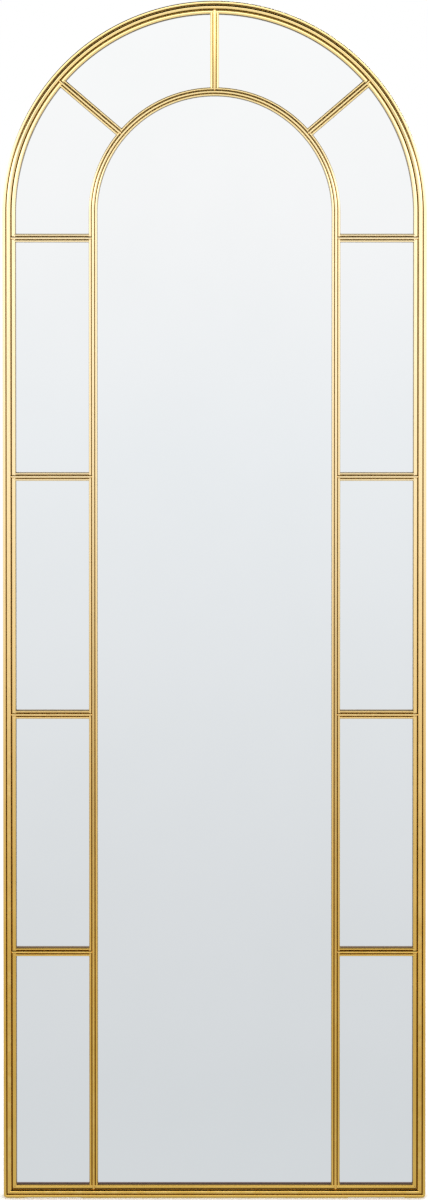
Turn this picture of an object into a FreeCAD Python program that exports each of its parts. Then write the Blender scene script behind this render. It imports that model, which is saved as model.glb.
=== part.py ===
import FreeCAD, Part

# Arched window-pane floor mirror: a welded front of reeded bars on a tube frame, one sheet of
# mirror behind it, a board and clips that hold the sheet in, and two swinging hanger rings.
# Millimetres. It stands upright, front towards -Y, up +Z, origin at the bottom centre of its box.

import os
import re
import Sketcher

# ---------------------------------------------------------------- driving sizes

SIZES = {
    # whole mirror
    "overall_width": 600,
    "overall_height": 1700,
    "foot_pad_thickness": 1.5,
    "corner_radius": 4.5,
    # outer moulding, from its outer edge inwards
    "outer_reed_width": 4.4,
    "groove_width": 0.8,
    "mid_bead_width": 6.4,
    "inner_reed_width": 6.1,
    "reed_height": 7,
    "mid_bead_height": 9,
    "moulding_groove_drop": 0.4,
    # inner hoop, crossbars and radial bars
    "side_reed_width": 3.5,
    "bar_groove_width": 0.5,
    "bar_bead_width": 4,
    "bar_bead_height": 8,
    "bar_groove_drop": 1.2,
    "inner_hoop_inset": 122,
    "top_bar_drop": 34.8,
    "radial_angle": 49.5,
    "reed_setback": 0.3,
    "weld_bite": 0.2,
    # tube frame behind the moulding
    "tube_width": 10,
    "tube_depth": 20,
    "tube_wall": 1.2,
    "tube_corner_radius": 1.5,
    # glass and what holds it
    "glass_clearance": 1,
    "glass_thickness": 4,
    "gasket_width": 5,
    "gasket_thickness": 1,
    "foam_thickness": 2,
    "board_thickness": 5,
    "setting_block_height": 3,
    "setting_block_length": 40,
    # spring clips
    "clip_width": 12,
    "clip_thickness": 1.2,
    "clip_toe_length": 14,
    "clip_foot_margin": 0.5,
    "clip_gap": 1,
    "clip_end_distance": 250,
    "clip_arch_angle": 50,
    # screws of the clips and bumpers
    "screw_diameter": 2.8,
    "screw_length": 9.5,
    "screw_tip_length": 2,
    "screw_tip_diameter": 0.8,
    "screw_head_diameter": 5.6,
    "screw_head_height": 2.1,
    "screw_head_rim": 0.6,
    "screw_head_flat": 3.4,
    "screw_clearance": 0.2,
    "recess_width": 0.8,
    "recess_length": 3,
    "recess_depth": 1.2,
    # hangers
    "hanger_drop": 100,
    "plate_width": 32,
    "plate_height": 46,
    "plate_thickness": 3,
    "plate_corner_radius": 4,
    "strap_width": 12,
    "strap_length": 29,
    "strap_thickness": 1.2,
    "ring_wire": 2.5,
    "ring_width": 17.5,
    "ring_length": 16,
    "ring_bend_radius": 2.5,
    "ring_clearance": 0.3,
    "rivet_diameter": 4,
    "rivet_head_diameter": 6,
    "rivet_head_height": 1.6,
    "rivet_head_flat": 1.6,
    "rivet_tail_diameter": 5.6,
    "rivet_tail_height": 1.8,
    "rivet_clearance": 0.1,
    "rivet_first_height": 8.5,
    "rivet_spacing": 14.5,
    # rubber
    "bumper_diameter": 10,
    "bumper_tip_diameter": 9,
    "bumper_height": 8,
    "bumper_sink_depth": 4,
    "bumper_sink_clearance": 0.4,
    "bumper_angle": 20,
    "foot_pad_length": 80,
    "foot_pad_inset": 70,
    # how far a cutting outline reaches past the metal
    "cut_margin": 1,
}

CROSSBAR_COUNT = 4
CLIP_ROWS = 3

# ---------------------------------------------------------------- places worked out from them

PLACES = {
    "half_width": "overall_width / 2",
    "arch_z": "overall_height - half_width",
    "moulding_width": "outer_reed_width + mid_bead_width + inner_reed_width + 2 * groove_width",
    "bar_width": "2 * side_reed_width + 2 * bar_groove_width + bar_bead_width",
    # depth, from the front crest to the back of the bumpers
    "total_depth": "mid_bead_height + tube_depth + bumper_height",
    "seam_y": "mid_bead_height - total_depth / 2",
    "rear_y": "seam_y + tube_depth",
    "glass_front_y": "seam_y + gasket_thickness",
    "glass_back_y": "glass_front_y + glass_thickness",
    "foam_back_y": "glass_back_y + foam_thickness",
    "board_back_y": "foam_back_y + board_thickness",
    # heights
    "frame_bottom_z": "foot_pad_thickness",
    "underside_front_y": "seam_y - (reed_height - outer_reed_width / 2)",
    "underside_rear_y": "rear_y - tube_corner_radius",
    "tube_top_z": "frame_bottom_z + tube_width",
    "glass_bottom_z": "tube_top_z + setting_block_height",
    "top_bar_z": "arch_z - top_bar_drop",
    "rail_top_z": "frame_bottom_z + moulding_width",
    "bar_pitch": f"(top_bar_z + bar_width / 2 - rail_top_z) / {CROSSBAR_COUNT}",
    "clip_pitch": f"(arch_z - 2 * clip_end_distance) / {CLIP_ROWS - 1}",
    "hanger_z": "arch_z - hanger_drop",
    # distances from the centre plane, which are radii in the arch
    "moulding_inner": "half_width - moulding_width",
    "tube_inner": "half_width - tube_width",
    "tube_centre": "half_width - tube_width / 2",
    "glass_half_width": "tube_inner - glass_clearance",
    "quarter_point": "glass_half_width / 2",
    "hoop_outer": "half_width - inner_hoop_inset",
    "hoop_centre": "hoop_outer - bar_width / 2",
    # where the bars' reeds and beads end on their neighbours
    "rail_reed_z": "frame_bottom_z + moulding_width - inner_reed_width / 2 + reed_setback",
    "rail_bead_z": "frame_bottom_z + outer_reed_width + groove_width + mid_bead_width",
    "tongue_z": "rail_bead_z - weld_bite + bar_bead_width / 2",
    "bar_start": "hoop_outer - side_reed_width / 2 + reed_setback",
    "bar_end": "moulding_inner + inner_reed_width / 2 - reed_setback",
    "hoop_bead_edge": "hoop_outer - side_reed_width - bar_groove_width",
    "bead_start": "hoop_bead_edge - weld_bite + bar_bead_width / 2",
    "moulding_bead_edge": "moulding_inner + inner_reed_width + groove_width",
    "bead_end": "moulding_bead_edge + weld_bite - bar_bead_width / 2",
    # heights of the grooves above the back of the bars
    "moulding_floor": "reed_height - inner_reed_width / 2 - moulding_groove_drop",
    "bar_floor": "reed_height - side_reed_width / 2 - bar_groove_drop",
    "bar_bead_shoulder": "bar_bead_height - bar_bead_width / 2",
    # hangers
    "eye_bore": "ring_wire / 2 + ring_clearance",
    "eye_radius": "eye_bore + strap_thickness",
    "eye_x": "tube_inner - plate_width / 2",
    "eye_y": "rear_y + eye_radius",
    "strap_back_y": "rear_y + 2 * strap_thickness",
}

# ---------------------------------------------------------------- sheet and expressions


def qualified(expression):
    """Spell out where each named size or place of an expression is kept."""
    def owner(match):
        word = match.group()
        if word in SIZES:
            return "sizes." + word
        if word in PLACES:
            return "places." + word
        return word
    return re.sub(r"[a-z_]+", owner, expression)


def write_sizes(doc):
    """Write the driving sizes to the sheet, one row each, with the name as alias."""
    sheet = doc.addObject("Spreadsheet::Sheet", "sizes")
    for row, (name, number) in enumerate(SIZES.items(), start=1):
        sheet.set(f"A{row}", name)
        sheet.set(f"B{row}", str(number))
        sheet.setAlias(f"B{row}", name)
    doc.recompute()


def write_places(doc):
    """Hold each worked-out place as a property that is bound to the sheet."""
    places = doc.addObject("App::VarSet", "places")
    for name in PLACES:
        places.addProperty("App::PropertyFloat", name)
    for name, expression in PLACES.items():
        places.setExpression(name, qualified(expression))
    doc.recompute()


def number_of(doc, expression):
    """Return the present value of an expression."""
    result = doc.getObject("places").evalExpression(qualified(expression))
    return float(getattr(result, "Value", result))


def bind(item, name, expression):
    """Bind a property of an object to an expression."""
    item.setExpression(name, qualified(expression))


def place(item, x="0", y="0", z="0", turn="0"):
    """Put an object at (x, y, z), turned by an angle about Y."""
    rotation = f"rotation(vector(0; 1; 0); {turn})"
    bind(item, "Placement", f"placement(vector({x}; {y}; {z}); {rotation})")


# ---------------------------------------------------------------- sketches


def sketch_on(body, role, offset="0"):
    """Start a sketch on one of the body's origin planes, moved along the plane's normal."""
    sketch = body.newObject("Sketcher::SketchObject", "sketch")
    plane = next(item for item in body.Origin.OriginFeatures if item.Role == role)
    sketch.AttachmentSupport = [(plane, "")]
    sketch.MapMode = "FlatFace"
    bind(sketch, "AttachmentOffset.Base.z", offset)
    return sketch


def fix_point(sketch, geometry, end, point):
    """Tie one end of a geometry to the sketch's origin by two bound distances."""
    for kind, expression in zip(("DistanceX", "DistanceY"), point):
        number = number_of(sketch.Document, expression)
        index = sketch.addConstraint(Sketcher.Constraint(kind, -1, 1, geometry, end, number))
        bind(sketch, f"Constraints[{index}]", expression)


def vector_of(sketch, point):
    """Return the present place of a pair of expressions in the sketch."""
    x, y = (number_of(sketch.Document, expression) for expression in point)
    return FreeCAD.Vector(x, y, 0)


def add_arc(sketch, first, apex, last):
    """Add an arc through three points; return it with the numbers of its first and last end."""
    start, middle, end = (vector_of(sketch, point) for point in (first, apex, last))
    anticlockwise = (middle - start).cross(end - middle).z > 0
    ordered = (start, middle, end) if anticlockwise else (end, middle, start)
    arc = sketch.addGeometry(Part.Arc(*ordered))
    marker = sketch.addGeometry(Part.Point(middle), True)
    fix_point(sketch, marker, 1, apex)
    sketch.addConstraint(Sketcher.Constraint("PointOnObject", marker, 1, arc))
    return (arc, 1, 2) if anticlockwise else (arc, 2, 1)


def outline(sketch, corners, apexes=None):
    """Draw a closed outline; an edge whose number is in apexes is an arc through that point."""
    apexes = apexes or {}
    edges = []
    for number, corner in enumerate(corners):
        following = corners[(number + 1) % len(corners)]
        if number in apexes:
            edges.append(add_arc(sketch, corner, apexes[number], following))
        else:
            line = Part.LineSegment(vector_of(sketch, corner), vector_of(sketch, following))
            edges.append((sketch.addGeometry(line), 1, 2))
    for number, corner in enumerate(corners):
        edge, first, _ = edges[number]
        previous, _, last = edges[number - 1]
        sketch.addConstraint(Sketcher.Constraint("Coincident", previous, last, edge, first))
        fix_point(sketch, edge, first, corner)


def rectangle(sketch, left, right, low, high):
    """Draw a rectangle between four bound coordinates."""
    outline(sketch, [(left, low), (right, low), (right, high), (left, high)])


def rounded_rectangle(sketch, left, right, low, high, radius):
    """Draw a rectangle whose four corners are arcs."""
    inset = f"({radius}) * (1 - sqrt(0.5))"
    corners = [
        (f"{left} + {radius}", low), (f"{right} - {radius}", low),
        (right, f"{low} + {radius}"), (right, f"{high} - {radius}"),
        (f"{right} - {radius}", high), (f"{left} + {radius}", high),
        (left, f"{high} - {radius}"), (left, f"{low} + {radius}"),
    ]
    apexes = {
        1: (f"{right} - {inset}", f"{low} + {inset}"),
        3: (f"{right} - {inset}", f"{high} - {inset}"),
        5: (f"{left} + {inset}", f"{high} - {inset}"),
        7: (f"{left} + {inset}", f"{low} + {inset}"),
    }
    outline(sketch, corners, apexes)


def circle(sketch, x, y, diameter):
    """Draw a circle with a bound centre and radius."""
    centre = vector_of(sketch, (x, y))
    radius = number_of(sketch.Document, f"({diameter}) / 2")
    ring = sketch.addGeometry(Part.Circle(centre, FreeCAD.Vector(0, 0, 1), radius))
    fix_point(sketch, ring, 3, (x, y))
    index = sketch.addConstraint(Sketcher.Constraint("Radius", ring, radius))
    bind(sketch, f"Constraints[{index}]", f"({diameter}) / 2")


# ---------------------------------------------------------------- features


def new_body(doc, name):
    """Start a body whose label is the piece's name."""
    body = doc.addObject("PartDesign::Body", name)
    body.Label = name
    return body


def pad(body, sketch, length, away=False, both_ways=False):
    """Extrude a sketch along its normal, against it, or half each way."""
    feature = body.newObject("PartDesign::Pad", "pad")
    feature.Profile = sketch
    feature.Reversed = away
    feature.SideType = "Symmetric" if both_ways else "One side"
    bind(feature, "Length", length)
    return feature


def pocket(body, sketch, length, against=False, both_ways=False):
    """Cut a sketch into the body, down its normal, up it, or half each way."""
    feature = body.newObject("PartDesign::Pocket", "pocket")
    feature.Profile = sketch
    feature.Reversed = against
    feature.SideType = "Symmetric" if both_ways else "One side"
    bind(feature, "Length", length)
    return feature


def revolve(body, sketch, angle=360):
    """Turn a sketch about its own vertical axis."""
    feature = body.newObject("PartDesign::Revolution", "revolution")
    feature.Profile = sketch
    feature.ReferenceAxis = (sketch, ["V_Axis"])
    feature.Angle = angle
    return feature


def mirror(body, originals):
    """Repeat features on the other side of the body's YZ plane."""
    body.Document.recompute()
    feature = body.newObject("PartDesign::Mirrored", "mirrored")
    feature.Originals = originals
    plane = next(item for item in body.Origin.OriginFeatures if item.Role == "YZ_Plane")
    feature.MirrorPlane = (plane, [""])
    body.Tip = feature
    return feature


# ---------------------------------------------------------------- moulding of the outer frame


def moulding_points(across, depth):
    """Return the moulding's section: corners and arc apexes, as functions of width and height.

    across(width) and depth(height) turn a distance from the outer edge and a height above the
    back of the bar into the two sketch coordinates, in the order that section() gives them.
    """
    corners = [(across("0"), depth("0"))]
    apexes = {}
    ridges = [
        ("outer_reed_width", "reed_height"),
        ("mid_bead_width", "mid_bead_height"),
        ("inner_reed_width", "reed_height"),
    ]
    reached = "0"
    for order, (width, crest) in enumerate(ridges):
        shoulder = depth(f"{crest} - {width} / 2")
        apexes[len(corners)] = (across(f"{reached} + {width} / 2"), depth(crest))
        corners.append((across(reached), shoulder))
        reached = f"{reached} + {width}"
        corners.append((across(reached), shoulder))
        if order < len(ridges) - 1:
            corners.append((across(reached), depth("moulding_floor")))
            reached = f"{reached} + groove_width"
            corners.append((across(reached), depth("moulding_floor")))
    corners.append((across(reached), depth("0")))
    return corners, apexes


def bottom_corners(sketch, corners, apexes=None):
    """Draw a cutting outline at both bottom corners; its points are for the right corner."""
    for side in ("1", "-1"):
        turned = [(f"{side} * ({x})", z) for x, z in corners]
        bent = {edge: (f"{side} * ({x})", z) for edge, (x, z) in (apexes or {}).items()}
        outline(sketch, turned, bent)


def cut_mitres(body, width, keep_upright):
    """Cut both bottom corners along the mitre, keeping the upright bar or the level one."""
    sketch = sketch_on(body, "XZ_Plane")
    outside = ("half_width + cut_margin", "frame_bottom_z - cut_margin")
    inside = (f"half_width - {width} - cut_margin", f"frame_bottom_z + {width} + cut_margin")
    spare = (inside[0], outside[1]) if keep_upright else (outside[0], inside[1])
    bottom_corners(sketch, [outside, inside, spare])
    return pocket(body, sketch, "2 * total_depth", both_ways=True)


def round_bottom_corners(body):
    """Round the two outer bottom corners, as ground after welding."""
    sketch = sketch_on(body, "XZ_Plane")
    far_x = "half_width + cut_margin"
    far_z = "frame_bottom_z - cut_margin"
    inset = "corner_radius * (1 - sqrt(0.5))"
    corners = [
        ("half_width - corner_radius", "frame_bottom_z"),
        ("half_width", "frame_bottom_z + corner_radius"),
        (far_x, "frame_bottom_z + corner_radius"),
        (far_x, far_z),
        ("half_width - corner_radius", far_z),
    ]
    apexes = {0: (f"half_width - {inset}", f"frame_bottom_z + {inset}")}
    bottom_corners(sketch, corners, apexes)
    return pocket(body, sketch, "2 * total_depth", both_ways=True)


def build_frame_hoop(doc):
    """Outer moulding: two stiles and the arch between them, one bent bar."""
    body = new_body(doc, "frame_hoop")
    corners, apexes = moulding_points(
        lambda width: f"-half_width + ({width})",
        lambda height: f"seam_y - ({height})",
    )
    section = sketch_on(body, "XY_Plane", "arch_z")
    outline(section, corners, apexes)
    stile = pad(body, section, "arch_z - frame_bottom_z", away=True)
    revolve(body, section, 180)
    mirror(body, [stile])
    cut_mitres(body, "moulding_width", keep_upright=True)
    round_bottom_corners(body)
    return body


def build_bottom_rail(doc):
    """Straight length of the same moulding, mitred to the stiles."""
    body = new_body(doc, "bottom_rail")
    corners, apexes = moulding_points(
        lambda width: f"frame_bottom_z + {width}",
        lambda height: f"seam_y - ({height})",
    )
    swapped = [(depth, across) for across, depth in corners]
    bent = {edge: (depth, across) for edge, (across, depth) in apexes.items()}
    section = sketch_on(body, "YZ_Plane")
    outline(section, swapped, bent)
    pad(body, section, "overall_width", both_ways=True)
    cut_mitres(body, "moulding_width", keep_upright=False)
    round_bottom_corners(body)
    return body


# ---------------------------------------------------------------- inner hoop and glazing bars


def bar_section(sketch, centre, back):
    """Draw the three-reed section of a glazing bar, centred on a bound coordinate."""
    corners = [(f"{centre} - bar_width / 2", back)]
    apexes = {}
    ridges = [
        ("side_reed_width", "reed_height"),
        ("bar_bead_width", "bar_bead_height"),
        ("side_reed_width", "reed_height"),
    ]
    reached = f"{centre} - bar_width / 2"
    for order, (width, crest) in enumerate(ridges):
        shoulder = f"{back} - ({crest} - {width} / 2)"
        apexes[len(corners)] = (f"{reached} + {width} / 2", f"{back} - {crest}")
        corners.append((reached, shoulder))
        reached = f"{reached} + {width}"
        corners.append((reached, shoulder))
        if order < len(ridges) - 1:
            corners.append((reached, f"{back} - bar_floor"))
            reached = f"{reached} + bar_groove_width"
            corners.append((reached, f"{back} - bar_floor"))
    corners.append((reached, back))
    outline(sketch, corners, apexes)


def bead_section(sketch, centre, back):
    """Draw the raised middle bead of a glazing bar by itself."""
    left = f"{centre} - bar_bead_width / 2"
    right = f"{centre} + bar_bead_width / 2"
    shoulder = f"{back} - bar_bead_shoulder"
    corners = [(left, back), (left, shoulder), (right, shoulder), (right, back)]
    outline(sketch, corners, {1: (centre, f"{back} - bar_bead_height")})


def bead_dome(body, plane_offset, centre, back):
    """Close the end of a bead with a round dome, turned about a line square to the glass."""
    sketch = sketch_on(body, "XY_Plane", plane_offset)
    bind(sketch, "AttachmentOffset.Base.x", centre)
    corners = [
        ("0", back), ("bar_bead_width / 2", back),
        ("bar_bead_width / 2", f"{back} - bar_bead_shoulder"),
        ("0", f"{back} - bar_bead_height"),
    ]
    reach = "bar_bead_width / 2 * sqrt(0.5)"
    apexes = {2: (reach, f"{back} - bar_bead_shoulder - {reach}")}
    outline(sketch, corners, apexes)
    return revolve(body, sketch)


def cope(doc, name, blank, neighbours):
    """Cut the end of a bar to the shape of the bars that it is welded to."""
    piece = doc.addObject("Part::Cut", name)
    piece.Label = name
    piece.Base = blank
    piece.Tool = neighbours
    return piece


def build_inner_hoop(doc, rail):
    """Inner hoop: two uprights that stand on the rail and a concentric arch."""
    blank = new_body(doc, "inner_hoop_blank")
    centre = "-hoop_centre"
    section = sketch_on(blank, "XY_Plane", "arch_z")
    bar_section(section, centre, "seam_y")
    upright = pad(blank, section, "arch_z - rail_reed_z", away=True)
    bead = sketch_on(blank, "XY_Plane", "arch_z")
    bead_section(bead, centre, "seam_y")
    tongue = pad(blank, bead, "arch_z - tongue_z", away=True)
    dome = bead_dome(blank, "tongue_z", centre, "seam_y")
    revolve(blank, section, 180)
    mirror(blank, [upright, tongue, dome])
    return cope(doc, "inner_hoop", blank, rail)


def build_glazing_bar(doc, name, height, turn, neighbours):
    """Short bar from the inner hoop to the moulding, pointing outwards at an angle from up."""
    blank = new_body(doc, name + "_blank")
    section = sketch_on(blank, "XY_Plane", "bar_start")
    bar_section(section, "0", "0")
    pad(blank, section, "bar_end - bar_start")
    bead = sketch_on(blank, "XY_Plane", "bead_start")
    bead_section(bead, "0", "0")
    pad(blank, bead, "bead_end - bead_start")
    bead_dome(blank, "bead_start", "0", "0")
    bead_dome(blank, "bead_end", "0", "0")
    place(blank, y="seam_y", z=height, turn=turn)
    return cope(doc, name, blank, neighbours)


def build_glazing_bars(doc, neighbours):
    """The crossbars at the sides, evenly spaced, and the radial bars of the arch."""
    bars = []
    for number in range(CROSSBAR_COUNT):
        height = f"top_bar_z - {CROSSBAR_COUNT - 1 - number} * bar_pitch"
        for side, turn in (("left", "-90"), ("right", "90")):
            name = f"crossbar_{side}_{number + 1}"
            bars.append(build_glazing_bar(doc, name, height, turn, neighbours))
    for side, turn in (("left", "-radial_angle"), ("centre", "0"), ("right", "radial_angle")):
        bars.append(build_glazing_bar(doc, f"radial_bar_{side}", "arch_z", turn, neighbours))
    return bars


# ---------------------------------------------------------------- tube frame


def tube_section(sketch, low, high, across_first):
    """Draw the hollow tube section between two distances, either way round in the sketch."""
    bore_radius = "tube_corner_radius - tube_wall"
    for inset, radius in (("0", "tube_corner_radius"), ("tube_wall", bore_radius)):
        across = (f"{low} + {inset}", f"{high} - {inset}")
        deep = (f"seam_y + {inset}", f"rear_y - {inset}")
        first, second = (across, deep) if across_first else (deep, across)
        rounded_rectangle(sketch, *first, *second, radius)


def screw_spots():
    """Return where the clips' screws go: x, z and the turn that points away from the glass."""
    spots = []
    for row in range(CLIP_ROWS):
        height = f"clip_end_distance + {row} * clip_pitch"
        spots.append(("-tube_centre", height, "-90"))
        spots.append(("tube_centre", height, "90"))
    for share in ("-1", "0", "1"):
        angle = f"{share} * clip_arch_angle"
        spots.append(arch_spot(angle))
    for share in ("-1", "1"):
        level = "frame_bottom_z + tube_width / 2"
        spots.append((f"{share} * quarter_point", level, "180"))
    return spots


def arch_spot(angle):
    """Return the place on the arch's tube at an angle from the crown, and that angle."""
    return (f"tube_centre * sin({angle})", f"arch_z + tube_centre * cos({angle})", angle)


def bumper_spots():
    """Return where the two bumpers sit near the crown."""
    return [arch_spot("-bumper_angle"), arch_spot("bumper_angle")]


def drill_rear(body, spots):
    """Drill the rear wall of a tube at each spot."""
    sketch = sketch_on(body, "XZ_Plane", "-rear_y")
    for x, z, _ in spots:
        circle(sketch, x, z, "screw_diameter + screw_clearance")
    return pocket(body, sketch, "tube_wall + cut_margin", against=True)


def build_rear_hoop_tube(doc):
    """Bent rectangular tube behind the moulding's arch and stiles."""
    body = new_body(doc, "rear_hoop_tube")
    section = sketch_on(body, "XY_Plane", "arch_z")
    tube_section(section, "-half_width", "-tube_inner", across_first=True)
    leg = pad(body, section, "arch_z - frame_bottom_z", away=True)
    revolve(body, section, 180)
    mirror(body, [leg])
    cut_mitres(body, "tube_width", keep_upright=True)
    round_bottom_corners(body)
    bottom_turn = "180"
    drill_rear(body, [spot for spot in screw_spots() if spot[2] != bottom_turn] + bumper_spots())
    return body


def build_rear_bottom_tube(doc):
    """Level tube behind the bottom rail, mitred to the bent one."""
    body = new_body(doc, "rear_bottom_tube")
    section = sketch_on(body, "YZ_Plane")
    tube_section(section, "frame_bottom_z", "tube_top_z", across_first=False)
    pad(body, section, "overall_width", both_ways=True)
    cut_mitres(body, "tube_width", keep_upright=False)
    round_bottom_corners(body)
    bottom_turn = "180"
    drill_rear(body, [spot for spot in screw_spots() if spot[2] == bottom_turn])
    return body


# ---------------------------------------------------------------- glass pack


def arch_outline(sketch, inset):
    """Draw the arched outline of the glass, moved inwards all round."""
    side = f"(glass_half_width - {inset})"
    low = f"glass_bottom_z + {inset}"
    corners = [(f"-{side}", low), (side, low), (side, "arch_z"), (f"-{side}", "arch_z")]
    outline(sketch, corners, {2: ("0", f"arch_z + {side}")})


def build_arch_sheet(doc, name, back, thickness):
    """Arched sheet with its back at a given depth."""
    body = new_body(doc, name)
    sketch = sketch_on(body, "XZ_Plane", f"-({back})")
    arch_outline(sketch, "0")
    pad(body, sketch, thickness)
    return body


def build_glass_gasket(doc):
    """Foam tape all round, between the moulding's lip and the glass."""
    body = new_body(doc, "glass_gasket")
    sketch = sketch_on(body, "XZ_Plane", "-glass_front_y")
    arch_outline(sketch, "0")
    arch_outline(sketch, "gasket_width")
    pad(body, sketch, "gasket_thickness")
    return body


def build_setting_block(doc, side, sign):
    """Rubber block that carries the glass and the board at a quarter of their width."""
    body = new_body(doc, side + "_setting_block")
    sketch = sketch_on(body, "XZ_Plane", "-board_back_y")
    middle = f"{sign} * quarter_point"
    left = f"{middle} - setting_block_length / 2"
    right = f"{middle} + setting_block_length / 2"
    rectangle(sketch, left, right, "tube_top_z", "glass_bottom_z")
    pad(body, sketch, "board_back_y - glass_front_y")
    return body


# ---------------------------------------------------------------- clips and screws


def build_clip(doc, name, spot):
    """Z-shaped clip: a foot on the tube, a leg down its inner side and a toe on the board."""
    body = new_body(doc, name)
    sketch = sketch_on(body, "YZ_Plane")
    drop = "(rear_y - board_back_y)"
    edge = "tube_width / 2"
    leg = f"-{edge} - clip_gap"
    toe = f"{leg} - clip_toe_length"
    sole = f"{edge} - clip_foot_margin"
    corners = [
        ("0", sole), ("0", leg), (f"-{drop}", leg), (f"-{drop}", toe),
        (f"clip_thickness - {drop}", toe),
        (f"clip_thickness - {drop}", f"{leg} - clip_thickness"),
        ("clip_thickness", f"{leg} - clip_thickness"), ("clip_thickness", sole),
    ]
    outline(sketch, corners)
    pad(body, sketch, "clip_width", both_ways=True)
    hole = sketch_on(body, "XZ_Plane")
    circle(hole, "0", "0", "screw_diameter + screw_clearance")
    pocket(body, hole, "clip_thickness + cut_margin")
    x, z, turn = spot
    place(body, x=x, y="rear_y", z=z, turn=turn)
    return body


def crown_point(low_x, low_y, high_x, high_y):
    """Return the middle of the rounded shoulder from a head's rim to its flat top."""
    x = f"{high_x} + ({low_x} - {high_x}) * sqrt(0.5)"
    y = f"{low_y} + ({high_y} - {low_y}) * sqrt(0.5)"
    return x, y


def build_screw(doc):
    """Pan-head screw along Y, its head's seat at the origin and its tip towards -Y."""
    body = new_body(doc, "screw_pattern")
    sketch = sketch_on(body, "XY_Plane")
    head = "screw_head_diameter / 2"
    shank = "screw_diameter / 2"
    corners = [
        ("0", "-screw_length"), ("screw_tip_diameter / 2", "-screw_length"),
        (shank, "screw_tip_length - screw_length"), (shank, "0"), (head, "0"),
        (head, "screw_head_rim"), ("screw_head_flat / 2", "screw_head_height"),
        ("0", "screw_head_height"),
    ]
    outline(sketch, corners, {5: crown_point(*corners[5], *corners[6])})
    revolve(body, sketch)
    cross = sketch_on(body, "XZ_Plane", "-screw_head_height")
    long_side = "recess_length / 2"
    short_side = "recess_width / 2"
    arms = [
        (long_side, f"-{short_side}"), (long_side, short_side), (short_side, short_side),
        (short_side, long_side), (f"-{short_side}", long_side), (f"-{short_side}", short_side),
        (f"-{long_side}", short_side), (f"-{long_side}", f"-{short_side}"),
        (f"-{short_side}", f"-{short_side}"), (f"-{short_side}", f"-{long_side}"),
        (short_side, f"-{long_side}"), (short_side, f"-{short_side}"),
    ]
    outline(cross, arms)
    pocket(body, cross, "recess_depth", against=True)
    return body


def build_group(doc, name, pattern, seats):
    """Repeat one fastener at each seat (x, y, z) and keep the copies as separate solids."""
    copies = []
    for x, y, z in seats:
        copy = doc.addObject("App::Link", name + "_copy")
        copy.setLink(pattern)
        place(copy, x=x, y=y, z=z)
        copies.append(copy)
    group = doc.addObject("Part::Compound", name)
    group.Label = name
    group.Links = copies
    return group


# ---------------------------------------------------------------- hangers


def rivet_heights():
    """Return the heights of a strap's two rivets above the eye."""
    return ["rivet_first_height", "rivet_first_height + rivet_spacing"]


def build_hanger_plate(doc, side, sign):
    """Steel tab welded to the tube's inner face, flush with its back."""
    body = new_body(doc, side + "_hanger_plate")
    sketch = sketch_on(body, "XZ_Plane", "-rear_y")
    inner = f"{sign} * (tube_inner - plate_width)"
    rounded = f"{sign} * (tube_inner - plate_width + plate_corner_radius)"
    outer = f"{sign} * tube_inner"
    low = "hanger_z"
    high = "hanger_z + plate_height"
    inset = "plate_corner_radius * (1 - sqrt(0.5))"
    middle = f"{sign} * (tube_inner - plate_width + {inset})"
    corners = [
        (outer, low), (outer, high), (rounded, high),
        (inner, f"{high} - plate_corner_radius"), (inner, f"{low} + plate_corner_radius"),
        (rounded, low),
    ]
    apexes = {2: (middle, f"{high} - {inset}"), 4: (middle, f"{low} + {inset}")}
    outline(sketch, corners, apexes)
    for height in rivet_heights():
        circle(sketch, f"{sign} * eye_x", f"{low} + {height}", "rivet_diameter + rivet_clearance")
    pad(body, sketch, "plate_thickness")
    return body


def build_hanger_strap(doc, side, sign):
    """Strip folded round the ring's wire, its two leaves riveted to the plate."""
    body = new_body(doc, side + "_hanger_strap")
    leaf = sketch_on(body, "XZ_Plane", "eye_radius - 2 * strap_thickness")
    half = "strap_width / 2"
    corners = [
        (f"-{half}", "0"), (half, "0"), (half, f"strap_length - {half}"),
        (f"-{half}", f"strap_length - {half}"),
    ]
    outline(leaf, corners, {2: ("0", "strap_length")})
    for height in rivet_heights():
        circle(leaf, "0", height, "rivet_diameter + rivet_clearance")
    pad(body, leaf, "2 * strap_thickness")
    eye = sketch_on(body, "YZ_Plane")
    circle(eye, "0", "0", "2 * eye_radius")
    pad(body, eye, "strap_width", both_ways=True)
    bore = sketch_on(body, "YZ_Plane")
    circle(bore, "0", "0", "2 * eye_bore")
    pocket(body, bore, "strap_width + cut_margin", both_ways=True)
    place(body, x=f"{sign} * eye_x", y="eye_y", z="hanger_z")
    return body


def build_hanger_ring(doc, side, sign):
    """Wire ring with one straight side, hanging from the eye."""
    body = new_body(doc, side + "_hanger_ring")
    path = sketch_on(body, "XZ_Plane")
    reach = "(ring_width / 2)"
    straight = f"({reach} - ring_bend_radius)"
    inset = "ring_bend_radius * (1 - sqrt(0.5))"
    corners = [
        (f"-{straight}", "0"), (straight, "0"), (reach, "-ring_bend_radius"),
        (reach, f"{reach} - ring_length"), (f"-{reach}", f"{reach} - ring_length"),
        (f"-{reach}", "-ring_bend_radius"),
    ]
    apexes = {
        1: (f"{reach} - {inset}", f"-{inset}"),
        3: ("0", "-ring_length"),
        5: (f"{inset} - {reach}", f"-{inset}"),
    }
    outline(path, corners, apexes)
    wire = sketch_on(body, "YZ_Plane")
    circle(wire, "0", "0", "ring_wire")
    pipe = body.newObject("PartDesign::AdditivePipe", "pipe")
    pipe.Profile = wire
    pipe.Spine = path
    place(body, x=f"{sign} * eye_x", y="eye_y", z="hanger_z")
    return body


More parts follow.
